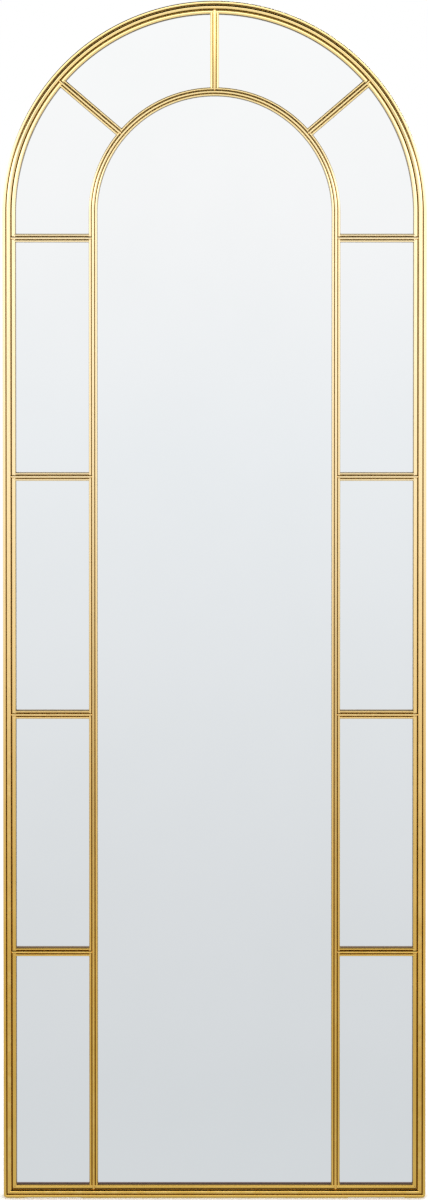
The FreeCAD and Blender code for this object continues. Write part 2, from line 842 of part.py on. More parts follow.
def build_rivet(doc):
    """Blind rivet along Y, its head's seat at the origin."""
    body = new_body(doc, "rivet_pattern")
    sketch = sketch_on(body, "XY_Plane")
    grip = "(2 * strap_thickness + plate_thickness)"
    shank = "rivet_diameter / 2"
    head = "rivet_head_diameter / 2"
    tail = "rivet_tail_diameter / 2"
    end = f"-{grip} - rivet_tail_height"
    corners = [
        ("0", end), (shank, end), (tail, f"-{grip}"), (shank, f"-{grip}"), (shank, "0"),
        (head, "0"), ("rivet_head_flat / 2", "rivet_head_height"), ("0", "rivet_head_height"),
    ]
    outline(sketch, corners, {5: crown_point(*corners[5], *corners[6])})
    revolve(body, sketch)
    return body


# ---------------------------------------------------------------- rubber


def build_wall_bumper(doc, side, spot):
    """Tapered rubber bumper with a sunk hole for its screw."""
    body = new_body(doc, side + "_wall_bumper")
    sketch = sketch_on(body, "XY_Plane")
    bore = "(screw_diameter + screw_clearance) / 2"
    sink = "(screw_head_diameter + bumper_sink_clearance) / 2"
    floor = "bumper_height - bumper_sink_depth"
    corners = [
        (bore, "0"), ("bumper_diameter / 2", "0"), ("bumper_tip_diameter / 2", "bumper_height"),
        (sink, "bumper_height"), (sink, floor), (bore, floor),
    ]
    outline(sketch, corners)
    revolve(body, sketch)
    x, z, turn = spot
    place(body, x=x, y="rear_y", z=z, turn=turn)
    return body


def build_foot_pad(doc, side, sign):
    """Thin rubber pad stuck under the frame, as deep as the frame's flat underside."""
    body = new_body(doc, side + "_foot_pad")
    sketch = sketch_on(body, "XY_Plane")
    middle = f"{sign} * (half_width - foot_pad_inset)"
    left = f"{middle} - foot_pad_length / 2"
    right = f"{middle} + foot_pad_length / 2"
    rectangle(sketch, left, right, "underside_front_y", "underside_rear_y")
    pad(body, sketch, "foot_pad_thickness")
    return body


# ---------------------------------------------------------------- the whole mirror


def build_welded_front(doc):
    """The gold bars that show from the front."""
    hoop = build_frame_hoop(doc)
    rail = build_bottom_rail(doc)
    inner_hoop = build_inner_hoop(doc, rail)
    neighbours = doc.addObject("Part::Compound", "bar_neighbours")
    neighbours.Links = [hoop, inner_hoop]
    return [hoop, rail, inner_hoop] + build_glazing_bars(doc, neighbours)


def build_glass_pack(doc):
    """Everything between the moulding's lip and the clips."""
    return [
        build_glass_gasket(doc),
        build_arch_sheet(doc, "mirror_glass", "glass_back_y", "glass_thickness"),
        build_arch_sheet(doc, "foam_sheet", "foam_back_y", "foam_thickness"),
        build_arch_sheet(doc, "backing_board", "board_back_y", "board_thickness"),
        build_setting_block(doc, "left", "-1"),
        build_setting_block(doc, "right", "1"),
    ]


def build_clips(doc, screw):
    """The clips, and their screws as one group."""
    spots = screw_spots()
    pieces = [
        build_clip(doc, f"retaining_clip_{number}", spot)
        for number, spot in enumerate(spots, start=1)
    ]
    seats = [(x, "rear_y + clip_thickness", z) for x, z, _ in spots]
    pieces.append(build_group(doc, "clip_screws", screw, seats))
    return pieces


def build_bumpers(doc, screw):
    """The two wall bumpers, and their screws as one group."""
    left, right = bumper_spots()
    pieces = [build_wall_bumper(doc, "left", left), build_wall_bumper(doc, "right", right)]
    seat_y = "rear_y + bumper_height - bumper_sink_depth"
    seats = [(x, seat_y, z) for x, z, _ in (left, right)]
    pieces.append(build_group(doc, "bumper_screws", screw, seats))
    return pieces


def build_hangers(doc):
    """Plates, straps, rings and rivets at both sides of the back."""
    pieces = []
    seats = []
    for side, sign in (("left", "-1"), ("right", "1")):
        pieces.append(build_hanger_plate(doc, side, sign))
        pieces.append(build_hanger_strap(doc, side, sign))
        pieces.append(build_hanger_ring(doc, side, sign))
        for height in rivet_heights():
            seats.append((f"{sign} * eye_x", "strap_back_y", f"hanger_z + {height}"))
    pieces.append(build_group(doc, "hanger_rivets", build_rivet(doc), seats))
    return pieces


def build_mirror(doc):
    """Build every piece and return the objects that are pieces of the mirror."""
    write_sizes(doc)
    write_places(doc)
    screw = build_screw(doc)
    pieces = build_welded_front(doc)
    pieces += [build_rear_hoop_tube(doc), build_rear_bottom_tube(doc)]
    pieces += build_glass_pack(doc)
    pieces += build_clips(doc, screw)
    pieces += build_hangers(doc)
    pieces += build_bumpers(doc, screw)
    pieces += [build_foot_pad(doc, "left", "-1"), build_foot_pad(doc, "right", "1")]
    doc.recompute()
    return pieces


def check(doc, pieces):
    """Stop if an object failed to build or a piece has no sound shape."""
    for item in doc.Objects:
        if "Invalid" in item.State or "Error" in item.State:
            raise RuntimeError(f"{item.Label} did not build: {item.State}")
    for piece in pieces:
        if piece.Shape.isNull() or not piece.Shape.isValid() or not piece.Shape.Solids:
            raise RuntimeError(f"{piece.Label} has no valid shape")


def check_cuts(doc):
    """Stop if a pocket took nothing off its body."""
    for item in doc.Objects:
        if item.TypeId == "PartDesign::Pocket":
            if item.Shape.Volume >= item.BaseFeature.Shape.Volume:
                raise RuntimeError(f"{item.Label} of {item.getParent().Label} cuts nothing")


def main():
    doc = FreeCAD.newDocument("floor_mirror")
    pieces = build_mirror(doc)
    check(doc, pieces)
    check_cuts(doc)
    os.makedirs("parts", exist_ok=True)
    for piece in pieces:
        piece.Shape.exportStep(os.path.join("parts", piece.Label + ".step"))
        print(piece.Label, len(piece.Shape.Solids), round(piece.Shape.Volume, 1))


main()
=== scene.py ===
"""Leaning floor mirror: welded gold bars, mirror sheet, back fittings and a plain studio.

Metres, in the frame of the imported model: the front faces -Y, +Z is up, the floor is z = 0.
"""
import logging
import math
from collections.abc import Callable
from dataclasses import dataclass, field
from enum import Enum

import bmesh
import bpy
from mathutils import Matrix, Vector


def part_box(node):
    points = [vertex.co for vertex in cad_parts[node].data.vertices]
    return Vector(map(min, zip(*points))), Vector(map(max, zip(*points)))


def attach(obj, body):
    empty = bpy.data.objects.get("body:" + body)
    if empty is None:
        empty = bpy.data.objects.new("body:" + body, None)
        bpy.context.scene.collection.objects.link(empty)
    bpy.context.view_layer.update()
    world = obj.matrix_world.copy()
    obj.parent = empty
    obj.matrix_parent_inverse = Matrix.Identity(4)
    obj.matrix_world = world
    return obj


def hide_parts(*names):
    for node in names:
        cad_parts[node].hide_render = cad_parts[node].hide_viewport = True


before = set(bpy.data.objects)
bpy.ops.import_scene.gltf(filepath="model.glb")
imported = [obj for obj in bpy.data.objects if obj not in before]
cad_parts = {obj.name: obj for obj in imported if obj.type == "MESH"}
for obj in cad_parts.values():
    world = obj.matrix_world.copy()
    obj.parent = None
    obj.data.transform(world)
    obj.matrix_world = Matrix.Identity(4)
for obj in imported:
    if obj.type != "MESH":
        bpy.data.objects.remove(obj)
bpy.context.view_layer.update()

LOG = logging.getLogger("floor_mirror")

Colour = tuple[float, float, float]
Point = tuple[float, float, float]
Stops = tuple[tuple[float, Colour], ...]

WHITE: Colour = (1.0, 1.0, 1.0)
EVEN: Point = (1.0, 1.0, 1.0)


class Body(str, Enum):
    """The body that every built piece rides on; the rings are dressed in place."""

    FRAME = "frame"


class Side(Enum):
    """A side of the mirror, with its sign along X."""

    LEFT = ("left", -1)
    RIGHT = ("right", 1)

    @property
    def word(self) -> str:
        """The side's name in node names."""
        return self.value[0]

    @property
    def sign(self) -> int:
        """The side's direction along X."""
        return self.value[1]


# ------------------------------------------------------------------ node trees


@dataclass(frozen=True)
class Grain:
    """A noise: its scale per metre, octaves, roughness and stretch, and the range in use."""

    scale: float
    detail: float = 3.0
    rough: float = 0.5
    stretch: Point = EVEN
    low: float = 0.3
    high: float = 0.7


class Wiring:
    """A node tree while it is being built."""

    clamps = False

    def __init__(self, tree: bpy.types.NodeTree) -> None:
        """Take over an empty tree."""
        self.tree = tree

    def node(self, kind: str, inputs: dict | None = None, **settings) -> bpy.types.Node:
        """Add a node.

        Args:
            kind: the node's type name.
            inputs: values, or sockets to link, by the input's name or number.
            **settings: properties of the node.

        Returns:
            The new node.
        """
        made = self.tree.nodes.new(kind)
        for name, value in settings.items():
            setattr(made, name, value)
        for name, value in (inputs or {}).items():
            self.feed(made.inputs[name], value)
        return made

    def feed(self, socket: bpy.types.NodeSocket, value: object) -> None:
        """Set a socket to a value, or link another socket to it."""
        if isinstance(value, bpy.types.NodeSocket):
            self.tree.links.new(value, socket)
        elif isinstance(value, tuple) and socket.type == "RGBA":
            socket.default_value = (*value, 1.0)
        else:
            socket.default_value = value

    def math(self, operation: str, first: object, second: object = 0.0) -> bpy.types.NodeSocket:
        """Return the result of a math node, which a shader clamps to 0 and 1."""
        made = self.node("ShaderNodeMath", {0: first, 1: second}, operation=operation,
                         use_clamp=self.clamps)
        return made.outputs[0]


class Shader(Wiring):
    """A material's node tree while it is being built."""

    clamps = True

    def __init__(self, name: str) -> None:
        """Start an empty material of this name."""
        self.material = bpy.data.materials.new(name)
        self.material.use_nodes = True
        super().__init__(self.material.node_tree)
        self.tree.nodes.clear()
        self.output = self.tree.nodes.new("ShaderNodeOutputMaterial")

    def place(self, scale: Point = EVEN) -> bpy.types.NodeSocket:
        """Return Object coordinates stretched by a scale."""
        source = self.node("ShaderNodeTexCoord").outputs["Object"]
        return self.node("ShaderNodeMapping", {"Vector": source, "Scale": scale}).outputs[0]

    def axis(self, name: str) -> bpy.types.NodeSocket:
        """Return one Object coordinate, named X, Y or Z."""
        return self.node("ShaderNodeSeparateXYZ", {0: self.place()}).outputs[name]

    def noise(self, grain: Grain) -> bpy.types.NodeSocket:
        """Return a noise between 0 and 1."""
        inputs = {"Vector": self.place(grain.stretch), "Scale": grain.scale,
                  "Detail": grain.detail, "Roughness": grain.rough}
        return self.node("ShaderNodeTexNoise", inputs).outputs[0]

    def remap(self, value: bpy.types.NodeSocket, low: float, high: float,
              to_low: float = 0.0, to_high: float = 1.0) -> bpy.types.NodeSocket:
        """Return a value moved from one range to another, clamped and eased at both ends.

        Args:
            value: the value's socket.
            low: the value that becomes to_low.
            high: the value that becomes to_high.
            to_low: what low becomes.
            to_high: what high becomes.

        Returns:
            The new value's socket.
        """
        inputs = {"Value": value, "From Min": low, "From Max": high,
                  "To Min": to_low, "To Max": to_high}
        made = self.node("ShaderNodeMapRange", inputs, interpolation_type="SMOOTHSTEP")
        return made.outputs[0]

    def fitted(self, noise: bpy.types.NodeSocket, grain: Grain,
               to_low: float = 0.0, to_high: float = 1.0) -> bpy.types.NodeSocket:
        """Return a grain's noise with its range in use moved to another one."""
        return self.remap(noise, grain.low, grain.high, to_low, to_high)

    def patches(self, grain: Grain, to_low: float = 0.0,
                to_high: float = 1.0) -> bpy.types.NodeSocket:
        """Return a new noise of a grain with its range in use moved to another one."""
        return self.fitted(self.noise(grain), grain, to_low, to_high)

    def blend(self, share: object, first: object, second: object) -> bpy.types.NodeSocket:
        """Return a colour between two others."""
        made = self.node("ShaderNodeMix", data_type="RGBA")
        for number, value in ((0, share), (6, first), (7, second)):
            self.feed(made.inputs[number], value)
        return made.outputs[2]

    def relief(self, height: bpy.types.NodeSocket, depth: float) -> bpy.types.NodeSocket:
        """Return a normal bumped by a height between 0 and 1, where 1 is a depth in metres."""
        return self.node("ShaderNodeBump", {"Height": height, "Distance": depth,
                                            "Strength": 1.0}).outputs[0]

    def finish(self, **inputs) -> bpy.types.Material:
        """Close the tree with a Principled shader.

        Args:
            **inputs: the shader's inputs, with underscores for spaces.

        Returns:
            The finished material.
        """
        named = {name.replace("_", " "): value for name, value in inputs.items()}
        surface = self.node("ShaderNodeBsdfPrincipled", named)
        self.feed(self.output.inputs[0], surface.outputs[0])
        return self.material


# ------------------------------------------------------------------ finishes


@dataclass(frozen=True)
class GoldLacquer:
    """Gold metallic lacquer sprayed on welded steel, thin on the crests, with painted highlight
    that makes it paler further up.

    Crests and grooves are told apart by their place along Y, heights by their place along Z. The
    grooves and inner walls are darkened as painted shade, in colour and in reflection.
    """

    name: str
    body: Colour = (0.84, 0.53, 0.115)
    deep: Colour = (0.77, 0.475, 0.09)
    crest: Colour = (0.88, 0.59, 0.16)
    # Painted highlight: the pale colour comes in with height, and the crown colour, a less pale
    # painted tone, over the arch's top.
    pale: Colour = (0.93, 0.76, 0.46)
    crown: Colour = (0.86, 0.66, 0.29)
    # Painted shade: the dark colour and the reflection tint laid in the grooves and on the inner
    # walls.
    groove: Colour = (0.13, 0.072, 0.007)
    groove_tint: Colour = (0.26, 0.20, 0.10)
    gloss_roughness: float = 0.11
    dull_roughness: float = 0.17
    coat: float = 0.3
    coat_roughness: float = 0.12
    coat_ior: float = 1.5
    cloud: Grain = Grain(9.0, 4.0)
    rub: Grain = Grain(60.0, 5.0, rough=0.6, low=0.45, high=0.65)
    flake: Grain = Grain(900.0, 2.0, low=0.55, high=0.75)
    flake_share: float = 0.15
    smudge: Grain = Grain(24.0, 5.0, rough=0.65, low=0.35, high=0.7)
    peel: Grain = Grain(90.0, 2.0)
    peel_depth: float = 0.000006
    crest_from: float = -0.0162
    crest_to: float = -0.0184
    # Depths over which the painted groove shade comes in.
    groove_from: float = -0.0161
    groove_to: float = -0.0147
    # Heights over which the painted highlight comes in.
    pale_from: float = 0.25
    pale_to: float = 1.30
    crown_from: float = 1.40
    crown_to: float = 1.64
    # Where the painted groove shade stops: the outer rim and the foot.
    rim_inner: float = 0.2975
    rim_outer: float = 0.2990
    foot_bottom: float = 0.0020
    foot_top: float = 0.0035
    arch_z: float = 1.400

    def material(self) -> bpy.types.Material:
        """Return the lacquer's material."""
        shader = Shader(self.name)
        colour = shader.blend(shader.patches(self.cloud), self.deep, self.body)
        near_crest = shader.remap(shader.axis("Y"), self.crest_from, self.crest_to)
        rubbed = shader.math("MULTIPLY", near_crest, shader.patches(self.rub))
        colour = shader.blend(rubbed, colour, self.crest)
        colour = shader.blend(shader.patches(self.flake, 0.0, self.flake_share), colour, self.crest)
        # Painted highlight: paler with height, then a less pale painted tone over the arch's top.
        high = shader.remap(shader.axis("Z"), self.pale_from, self.pale_to)
        colour = shader.blend(high, colour, self.pale)
        top = shader.remap(shader.axis("Z"), self.crown_from, self.crown_to)
        colour = shader.blend(top, colour, self.crown)
        # Painted shade: darker colour and darker reflections in the grooves and on the inner walls.
        sunk = self.sunk(shader)
        colour = shader.blend(sunk, colour, self.groove)
        tint = shader.blend(sunk, WHITE, self.groove_tint)
        smudge = shader.patches(self.smudge, self.gloss_roughness, self.dull_roughness)
        peel = shader.relief(shader.noise(self.peel), self.peel_depth)
        return shader.finish(Base_Color=colour, Metallic=1.0, Roughness=smudge, Normal=peel,
                             Coat_Weight=self.coat, Coat_Roughness=self.coat_roughness,
                             Coat_IOR=self.coat_ior, Specular_Tint=tint)

    def sunk(self, shader: Shader) -> bpy.types.NodeSocket:
        """Return the painted shade's mask: 1 in the grooves and on the inner walls, and 0 on crests
        and the outer rim.

        Args:
            shader: the material that is being built.

        Returns:
            The share's socket.
        """
        deep = shader.remap(shader.axis("Y"), self.groove_from, self.groove_to)
        across = shader.axis("X")
        over = shader.math("SUBTRACT", shader.axis("Z"), self.arch_z)
        square = shader.math("ADD", shader.math("MULTIPLY", across, across),
                             shader.math("MULTIPLY", over, over))
        rim = shader.remap(shader.math("SQRT", square), self.rim_inner, self.rim_outer)
        foot = shader.remap(shader.axis("Z"), self.foot_bottom, self.foot_top, 1.0, 0.0)
        outside = shader.math("MAXIMUM", rim, foot)
        return shader.math("MULTIPLY", deep, shader.math("SUBTRACT", 1.0, outside))


@dataclass(frozen=True)
class WeldLacquer:
    """The same lacquer over weld metal, coarser and a little duller."""

    name: str
    body: Colour = (0.78, 0.53, 0.19)
    deep: Colour = (0.55, 0.33, 0.085)
    roughness: float = 0.36
    grit: Grain = Grain(1400.0, low=0.35, high=0.65)
    grit_depth: float = 0.00012

    def material(self) -> bpy.types.Material:
        """Return the lacquer's material."""
        shader = Shader(self.name)
        grit = shader.noise(self.grit)
        colour = shader.blend(shader.fitted(grit, self.grit), self.deep, self.body)
        return shader.finish(Base_Color=colour, Metallic=1.0, Roughness=self.roughness,
                             Normal=shader.relief(grit, self.grit_depth))


@dataclass(frozen=True)
class Silvering:
    """Silver behind clear float glass, seen from the front, very slightly wavy."""

    name: str
    clean: Colour = (0.945, 0.955, 0.958)
    hazy: Colour = (0.93, 0.943, 0.945)
    clean_roughness: float = 0.0
    hazy_roughness: float = 0.003
    haze: Grain = Grain(3.5, 4.0, rough=0.6, low=0.35, high=0.75)
    wave: Grain = Grain(2.2, 1.0)
    wave_depth: float = 0.00002

    def material(self) -> bpy.types.Material:
        """Return the mirror's material."""
        shader = Shader(self.name)
        haze = shader.patches(self.haze)
        colour = shader.blend(haze, self.clean, self.hazy)
        rough = shader.remap(haze, 0.0, 1.0, self.clean_roughness, self.hazy_roughness)
        wave = shader.relief(shader.noise(self.wave), self.wave_depth)
        return shader.finish(Base_Color=colour, Metallic=1.0, Roughness=rough, Normal=wave)


@dataclass(frozen=True)
class GroundGlass:
    """The seamed green edge of the mirror sheet."""

    name: str
    pale: Colour = (0.46, 0.60, 0.55)
    dark: Colour = (0.20, 0.34, 0.30)
    least_roughness: float = 0.3
    most_roughness: float = 0.5
    scratch: Grain = Grain(500.0, stretch=(1.0, 6.0, 1.0))
    scratch_depth: float = 0.00003

    def material(self) -> bpy.types.Material:
        """Return the edge's material."""
        shader = Shader(self.name)
        scratch = shader.noise(self.scratch)
        colour = shader.blend(scratch, self.dark, self.pale)
        rough = shader.fitted(scratch, self.scratch, self.least_roughness, self.most_roughness)
        return shader.finish(Base_Color=colour, Roughness=rough,
                             Normal=shader.relief(scratch, self.scratch_depth))


@dataclass(frozen=True)
class PlainFinish:
    """A dull finish: rubber, paint, tape or foam, told apart by its grain."""

    name: str
    light: Colour
    dark: Colour
    roughness: float
    grain_scale: float
    grain_depth: float
    grain_detail: float = 4.0
    grain_rough: float = 0.6
    grain_share: float = 0.5
    least_light: float = 0.1
    cloud: Grain = Grain(14.0, 4.0)
    cloud_share: float = 0.3
    roughness_swing: float = 0.06
    sheen: float = 0.0

    def material(self) -> bpy.types.Material:
        """Return the finish's material."""
        shader = Shader(self.name)
        form = Grain(self.grain_scale, self.grain_detail, self.grain_rough)
        grain = shader.noise(form)
        share = shader.math("ADD", shader.math("MULTIPLY", grain, self.grain_share),
                            self.least_light)
        colour = shader.blend(share, self.dark, self.light)
        shade = shader.remap(shader.patches(self.cloud), 0.0, 1.0, 0.0, self.cloud_share)
        colour = shader.blend(shade, colour, self.dark)
        rough = shader.fitted(grain, form, self.roughness - self.roughness_swing,
                              self.roughness + self.roughness_swing)
        return shader.finish(Base_Color=colour, Roughness=rough, Sheen_Weight=self.sheen,
                             Normal=shader.relief(grain, self.grain_depth))


@dataclass(frozen=True)
class Fibreboard:
    """Brown pressed fibreboard: fine fibres, darker flecks and a faint sanding pattern."""

    name: str
    light: Colour = (0.36, 0.225, 0.125)
    dark: Colour = (0.22, 0.125, 0.062)
    fleck: Colour = (0.10, 0.055, 0.03)
    roughness: float = 0.78
    fibre_polish: float = 0.14
    cloud: Grain = Grain(7.0, 5.0)
    cloud_share: float = 0.35
    fibre: Grain = Grain(420.0, 4.0, rough=0.65, stretch=(1.0, 1.0, 0.22))
    fibre_depth: float = 0.00006
    flecks: Grain = Grain(900.0, 2.0, stretch=(0.6, 1.0, 0.6), low=0.66, high=0.74)

    def material(self) -> bpy.types.Material:
        """Return the board's material."""
        shader = Shader(self.name)
        fibre = shader.noise(self.fibre)
        colour = shader.blend(shader.fitted(fibre, self.fibre), self.dark, self.light)
        shade = shader.remap(shader.patches(self.cloud), 0.0, 1.0, 0.0, self.cloud_share)
        colour = shader.blend(shade, colour, self.dark)
        colour = shader.blend(shader.patches(self.flecks), colour, self.fleck)
        rough = shader.fitted(fibre, self.fibre, self.roughness,
                              self.roughness - self.fibre_polish)
        return shader.finish(Base_Color=colour, Roughness=rough,
                             Normal=shader.relief(fibre, self.fibre_depth))


@dataclass(frozen=True)
class PlatedSteel:
    """Plated or bare metal of the fittings: drawing lines, cloudy plating and stains."""

    name: str
    bright: Colour
    dull: Colour
    stain: Colour
    roughness: float = 0.3
    line_stretch: Point = (1.0, 1.0, 0.08)
    line_scale: float = 2600.0
    line_depth: float = 0.000015
    smoother: float = 0.07
    rougher: float = 0.09
    cloud: Grain = Grain(120.0, 4.0)
    spots: Grain = Grain(240.0, 5.0, rough=0.7, low=0.62, high=0.78)
    spot_share: float = 0.5

    def material(self) -> bpy.types.Material:
        """Return the metal's material."""
        shader = Shader(self.name)
        form = Grain(self.line_scale, stretch=self.line_stretch)
        line = shader.noise(form)
        colour = shader.blend(shader.patches(self.cloud), self.dull, self.bright)
        spots = shader.remap(shader.patches(self.spots), 0.0, 1.0, 0.0, self.spot_share)
        colour = shader.blend(spots, colour, self.stain)
        rough = shader.fitted(line, form, self.roughness - self.smoother,
                              self.roughness + self.rougher)
        return shader.finish(Base_Color=colour, Metallic=1.0, Roughness=rough,
                             Normal=shader.relief(line, self.line_depth))


@dataclass(frozen=True)
class FinishSet:
    """Every finish of the mirror."""

    bars: GoldLacquer = GoldLacquer("gold_bar_lacquer")
    # The tube's lacquer: a milder painted highlight with height. Its crest and groove-shade bounds
    # lie beyond the tube, so it has no crest wear and no painted groove shade.
    tube: GoldLacquer = GoldLacquer("gold_tube_lacquer", crest_from=-0.05, crest_to=-0.06,
                                    groove_from=0.05, groove_to=0.06,
                                    gloss_roughness=0.31, dull_roughness=0.42, coat=0.2,
                                    pale=(0.86, 0.60, 0.20), crown=(0.86, 0.60, 0.20))
    weld: WeldLacquer = WeldLacquer("gold_weld_lacquer")
    silver: Silvering = Silvering("mirror_silvering")
    glass_edge: GroundGlass = GroundGlass("seamed_glass_edge")
    back_paint: PlainFinish = PlainFinish(
        "mirror_back_paint", light=(0.30, 0.31, 0.32), dark=(0.22, 0.23, 0.24),
        roughness=0.55, grain_scale=500.0, grain_depth=0.00004)
    tape: PlainFinish = PlainFinish(
        "black_foam_tape", light=(0.035, 0.035, 0.036), dark=(0.012, 0.012, 0.013),
        roughness=0.85, grain_scale=1500.0, grain_depth=0.00015)
    foam: PlainFinish = PlainFinish(
        "white_foam_sheet", light=(0.86, 0.86, 0.84), dark=(0.74, 0.74, 0.72),
        roughness=0.8, grain_scale=380.0, grain_depth=0.00025, sheen=0.2)
    board: Fibreboard = Fibreboard("brown_fibreboard")
    black_rubber: PlainFinish = PlainFinish(
        "black_rubber", light=(0.05, 0.05, 0.052), dark=(0.022, 0.022, 0.023),
        roughness=0.62, grain_scale=700.0, grain_depth=0.00008)
    grey_rubber: PlainFinish = PlainFinish(
        "grey_bumper_rubber", light=(0.10, 0.10, 0.102), dark=(0.055, 0.055, 0.056),
        roughness=0.58, grain_scale=800.0, grain_depth=0.00008)
    pale_rubber: PlainFinish = PlainFinish(
        "pale_pad_rubber", light=(0.70, 0.68, 0.63), dark=(0.60, 0.58, 0.53),
        roughness=0.5, grain_scale=600.0, grain_depth=0.00006)
    zinc: PlatedSteel = PlatedSteel(
        "zinc_plated_spring_steel", bright=(0.72, 0.73, 0.73), dull=(0.54, 0.55, 0.57),
        stain=(0.62, 0.55, 0.36), roughness=0.34)
    screw_zinc: PlatedSteel = PlatedSteel(
        "zinc_plated_screw_steel", bright=(0.76, 0.76, 0.75), dull=(0.58, 0.59, 0.61),
        stain=(0.66, 0.58, 0.36), roughness=0.28, line_stretch=(1.0, 0.1, 1.0))
    nickel: PlatedSteel = PlatedSteel(
        "nickel_plated_steel", bright=(0.80, 0.77, 0.71), dull=(0.66, 0.63, 0.57),
        stain=(0.42, 0.36, 0.28), roughness=0.2)
    aluminium: PlatedSteel = PlatedSteel(
        "bare_rivet_aluminium", bright=(0.84, 0.84, 0.85), dull=(0.66, 0.67, 0.68),
        stain=(0.50, 0.49, 0.47), roughness=0.3, line_stretch=EVEN)


# ------------------------------------------------------------------ mesh and node helpers


# Points closer than this are merged.
SAME_PLACE = 1e-7
# Edges sharper than this many degrees stay sharp.
SHARP_EDGE = 35.0


def add_object(name: str, mesh: bpy.types.Mesh) -> bpy.types.Object:
    """Put a mesh in the scene as an object at the origin."""
    made = bpy.data.objects.new(name, mesh)
    bpy.context.scene.collection.objects.link(made)
    return made


def mesh_of(name: str, points: list, edges: list = (), faces: list = ()) -> bpy.types.Mesh:
    """Make a mesh of points, edges and faces.

    Args:
        name: the mesh's name.
        points: the places of its vertices.
        edges: pairs of vertex numbers.
        faces: tuples of vertex numbers.

    Returns:
        The mesh.
    """
    mesh = bpy.data.meshes.new(name)
    mesh.from_pydata([tuple(point) for point in points], list(edges), list(faces))
    mesh.update()
    return mesh


def tidy_normals(mesh: bpy.types.Mesh, smooth: bool = True) -> None:
    """Merge doubles, point the faces outwards and set how they are shaded."""
    work = bmesh.new()
    work.from_mesh(mesh)
    bmesh.ops.remove_doubles(work, verts=work.verts, dist=SAME_PLACE)
    bmesh.ops.recalc_face_normals(work, faces=work.faces)
    for face in work.faces:
        face.smooth = smooth
    work.to_mesh(mesh)
    work.free()


def shade_by_angle(piece: bpy.types.Object, degrees: float = SHARP_EDGE) -> None:
    """Shade a piece smooth, but keep the edges sharper than an angle."""
    piece.data.shade_smooth()
    piece.data.set_sharp_from_angle(angle=math.radians(degrees))


def settle(piece: bpy.types.Object, body: Body, replaces: tuple = ()) -> None:
    """Tie a finished piece to its body and the nodes that it stands for.

    Args:
        piece: the finished piece, in place.
        body: the body that it rides on.
        replaces: names of CAD nodes.
    """
    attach(piece, body.value)
    if replaces:
        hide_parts(*replaces)
    LOG.info("%s: %d faces on %s", piece.name, len(piece.data.polygons), body.value)


def dress(nodes: tuple, material: bpy.types.Material) -> None:
    """Give CAD nodes a material in place of their plain one."""
    for name in nodes:
        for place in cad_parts[name].material_slots:
            place.material = material
        LOG.info("%s: dressed in %s", name, material.name)


class NodeRecipe(Wiring):
    """A Geometry Nodes tree with named inputs, applied to a piece as a plain mesh."""

    def __init__(self, name: str) -> None:
        """Start a tree of this name with a geometry input and output."""
        super().__init__(bpy.data.node_groups.new(name, "GeometryNodeTree"))
        self.tree.is_modifier = True
        self.identifiers: dict[str, str] = {}
        for way in ("INPUT", "OUTPUT"):
            self.tree.interface.new_socket(name="Geometry", in_out=way,
                                           socket_type="NodeSocketGeometry")
        self.entry = self.tree.nodes.new("NodeGroupInput")
        self.exit = self.tree.nodes.new("NodeGroupOutput")

    def ask(self, name: str, kind: str, default: object = None) -> None:
        """Add a named input.

        Args:
            name: the input's name.
            kind: its socket type.
            default: its default value, if it has one.
        """
        made = self.tree.interface.new_socket(name=name, in_out="INPUT", socket_type=kind)
        if default is not None:
            made.default_value = default
        self.identifiers[name] = made.identifier

    def given(self, name: str) -> bpy.types.NodeSocket:
        """Return a named input's socket inside the tree."""
        return self.entry.outputs[name]

    def close(self, geometry: bpy.types.NodeSocket) -> None:
        """Realize the instances, set the material and end the tree."""
        real = self.node("GeometryNodeRealizeInstances", {"Geometry": geometry})
        inputs = {"Geometry": real.outputs[0], "Material": self.given("Material")}
        self.feed(self.exit.inputs[0], self.node("GeometryNodeSetMaterial", inputs).outputs[0])

    def apply(self, piece: bpy.types.Object, values: dict[str, object]) -> None:
        """Run the tree on a piece and keep its result as the piece's own mesh.

        Args:
            piece: the object whose mesh goes in.
            values: the value of each named input.
        """
        modifier = piece.modifiers.new(self.tree.name, "NODES")
        modifier.node_group = self.tree
        for name, value in values.items():
            modifier[self.identifiers[name]] = value
        piece.update_tag()
        graph = bpy.context.evaluated_depsgraph_get()
        result = bpy.data.meshes.new_from_object(piece.evaluated_get(graph))
        piece.modifiers.remove(modifier)
        result.name = piece.name
        piece.data = result


# A weld ripple's size varies between these shares of its radius.
LEAST_RIPPLE, LARGEST_RIPPLE = 0.8, 1.2
# How many sides a bar's bead has all round.
BEAD_SIDES = 28
# Keeps a division by the distance to a corner's middle away from nought.
SMALLEST_REACH = 0.000001


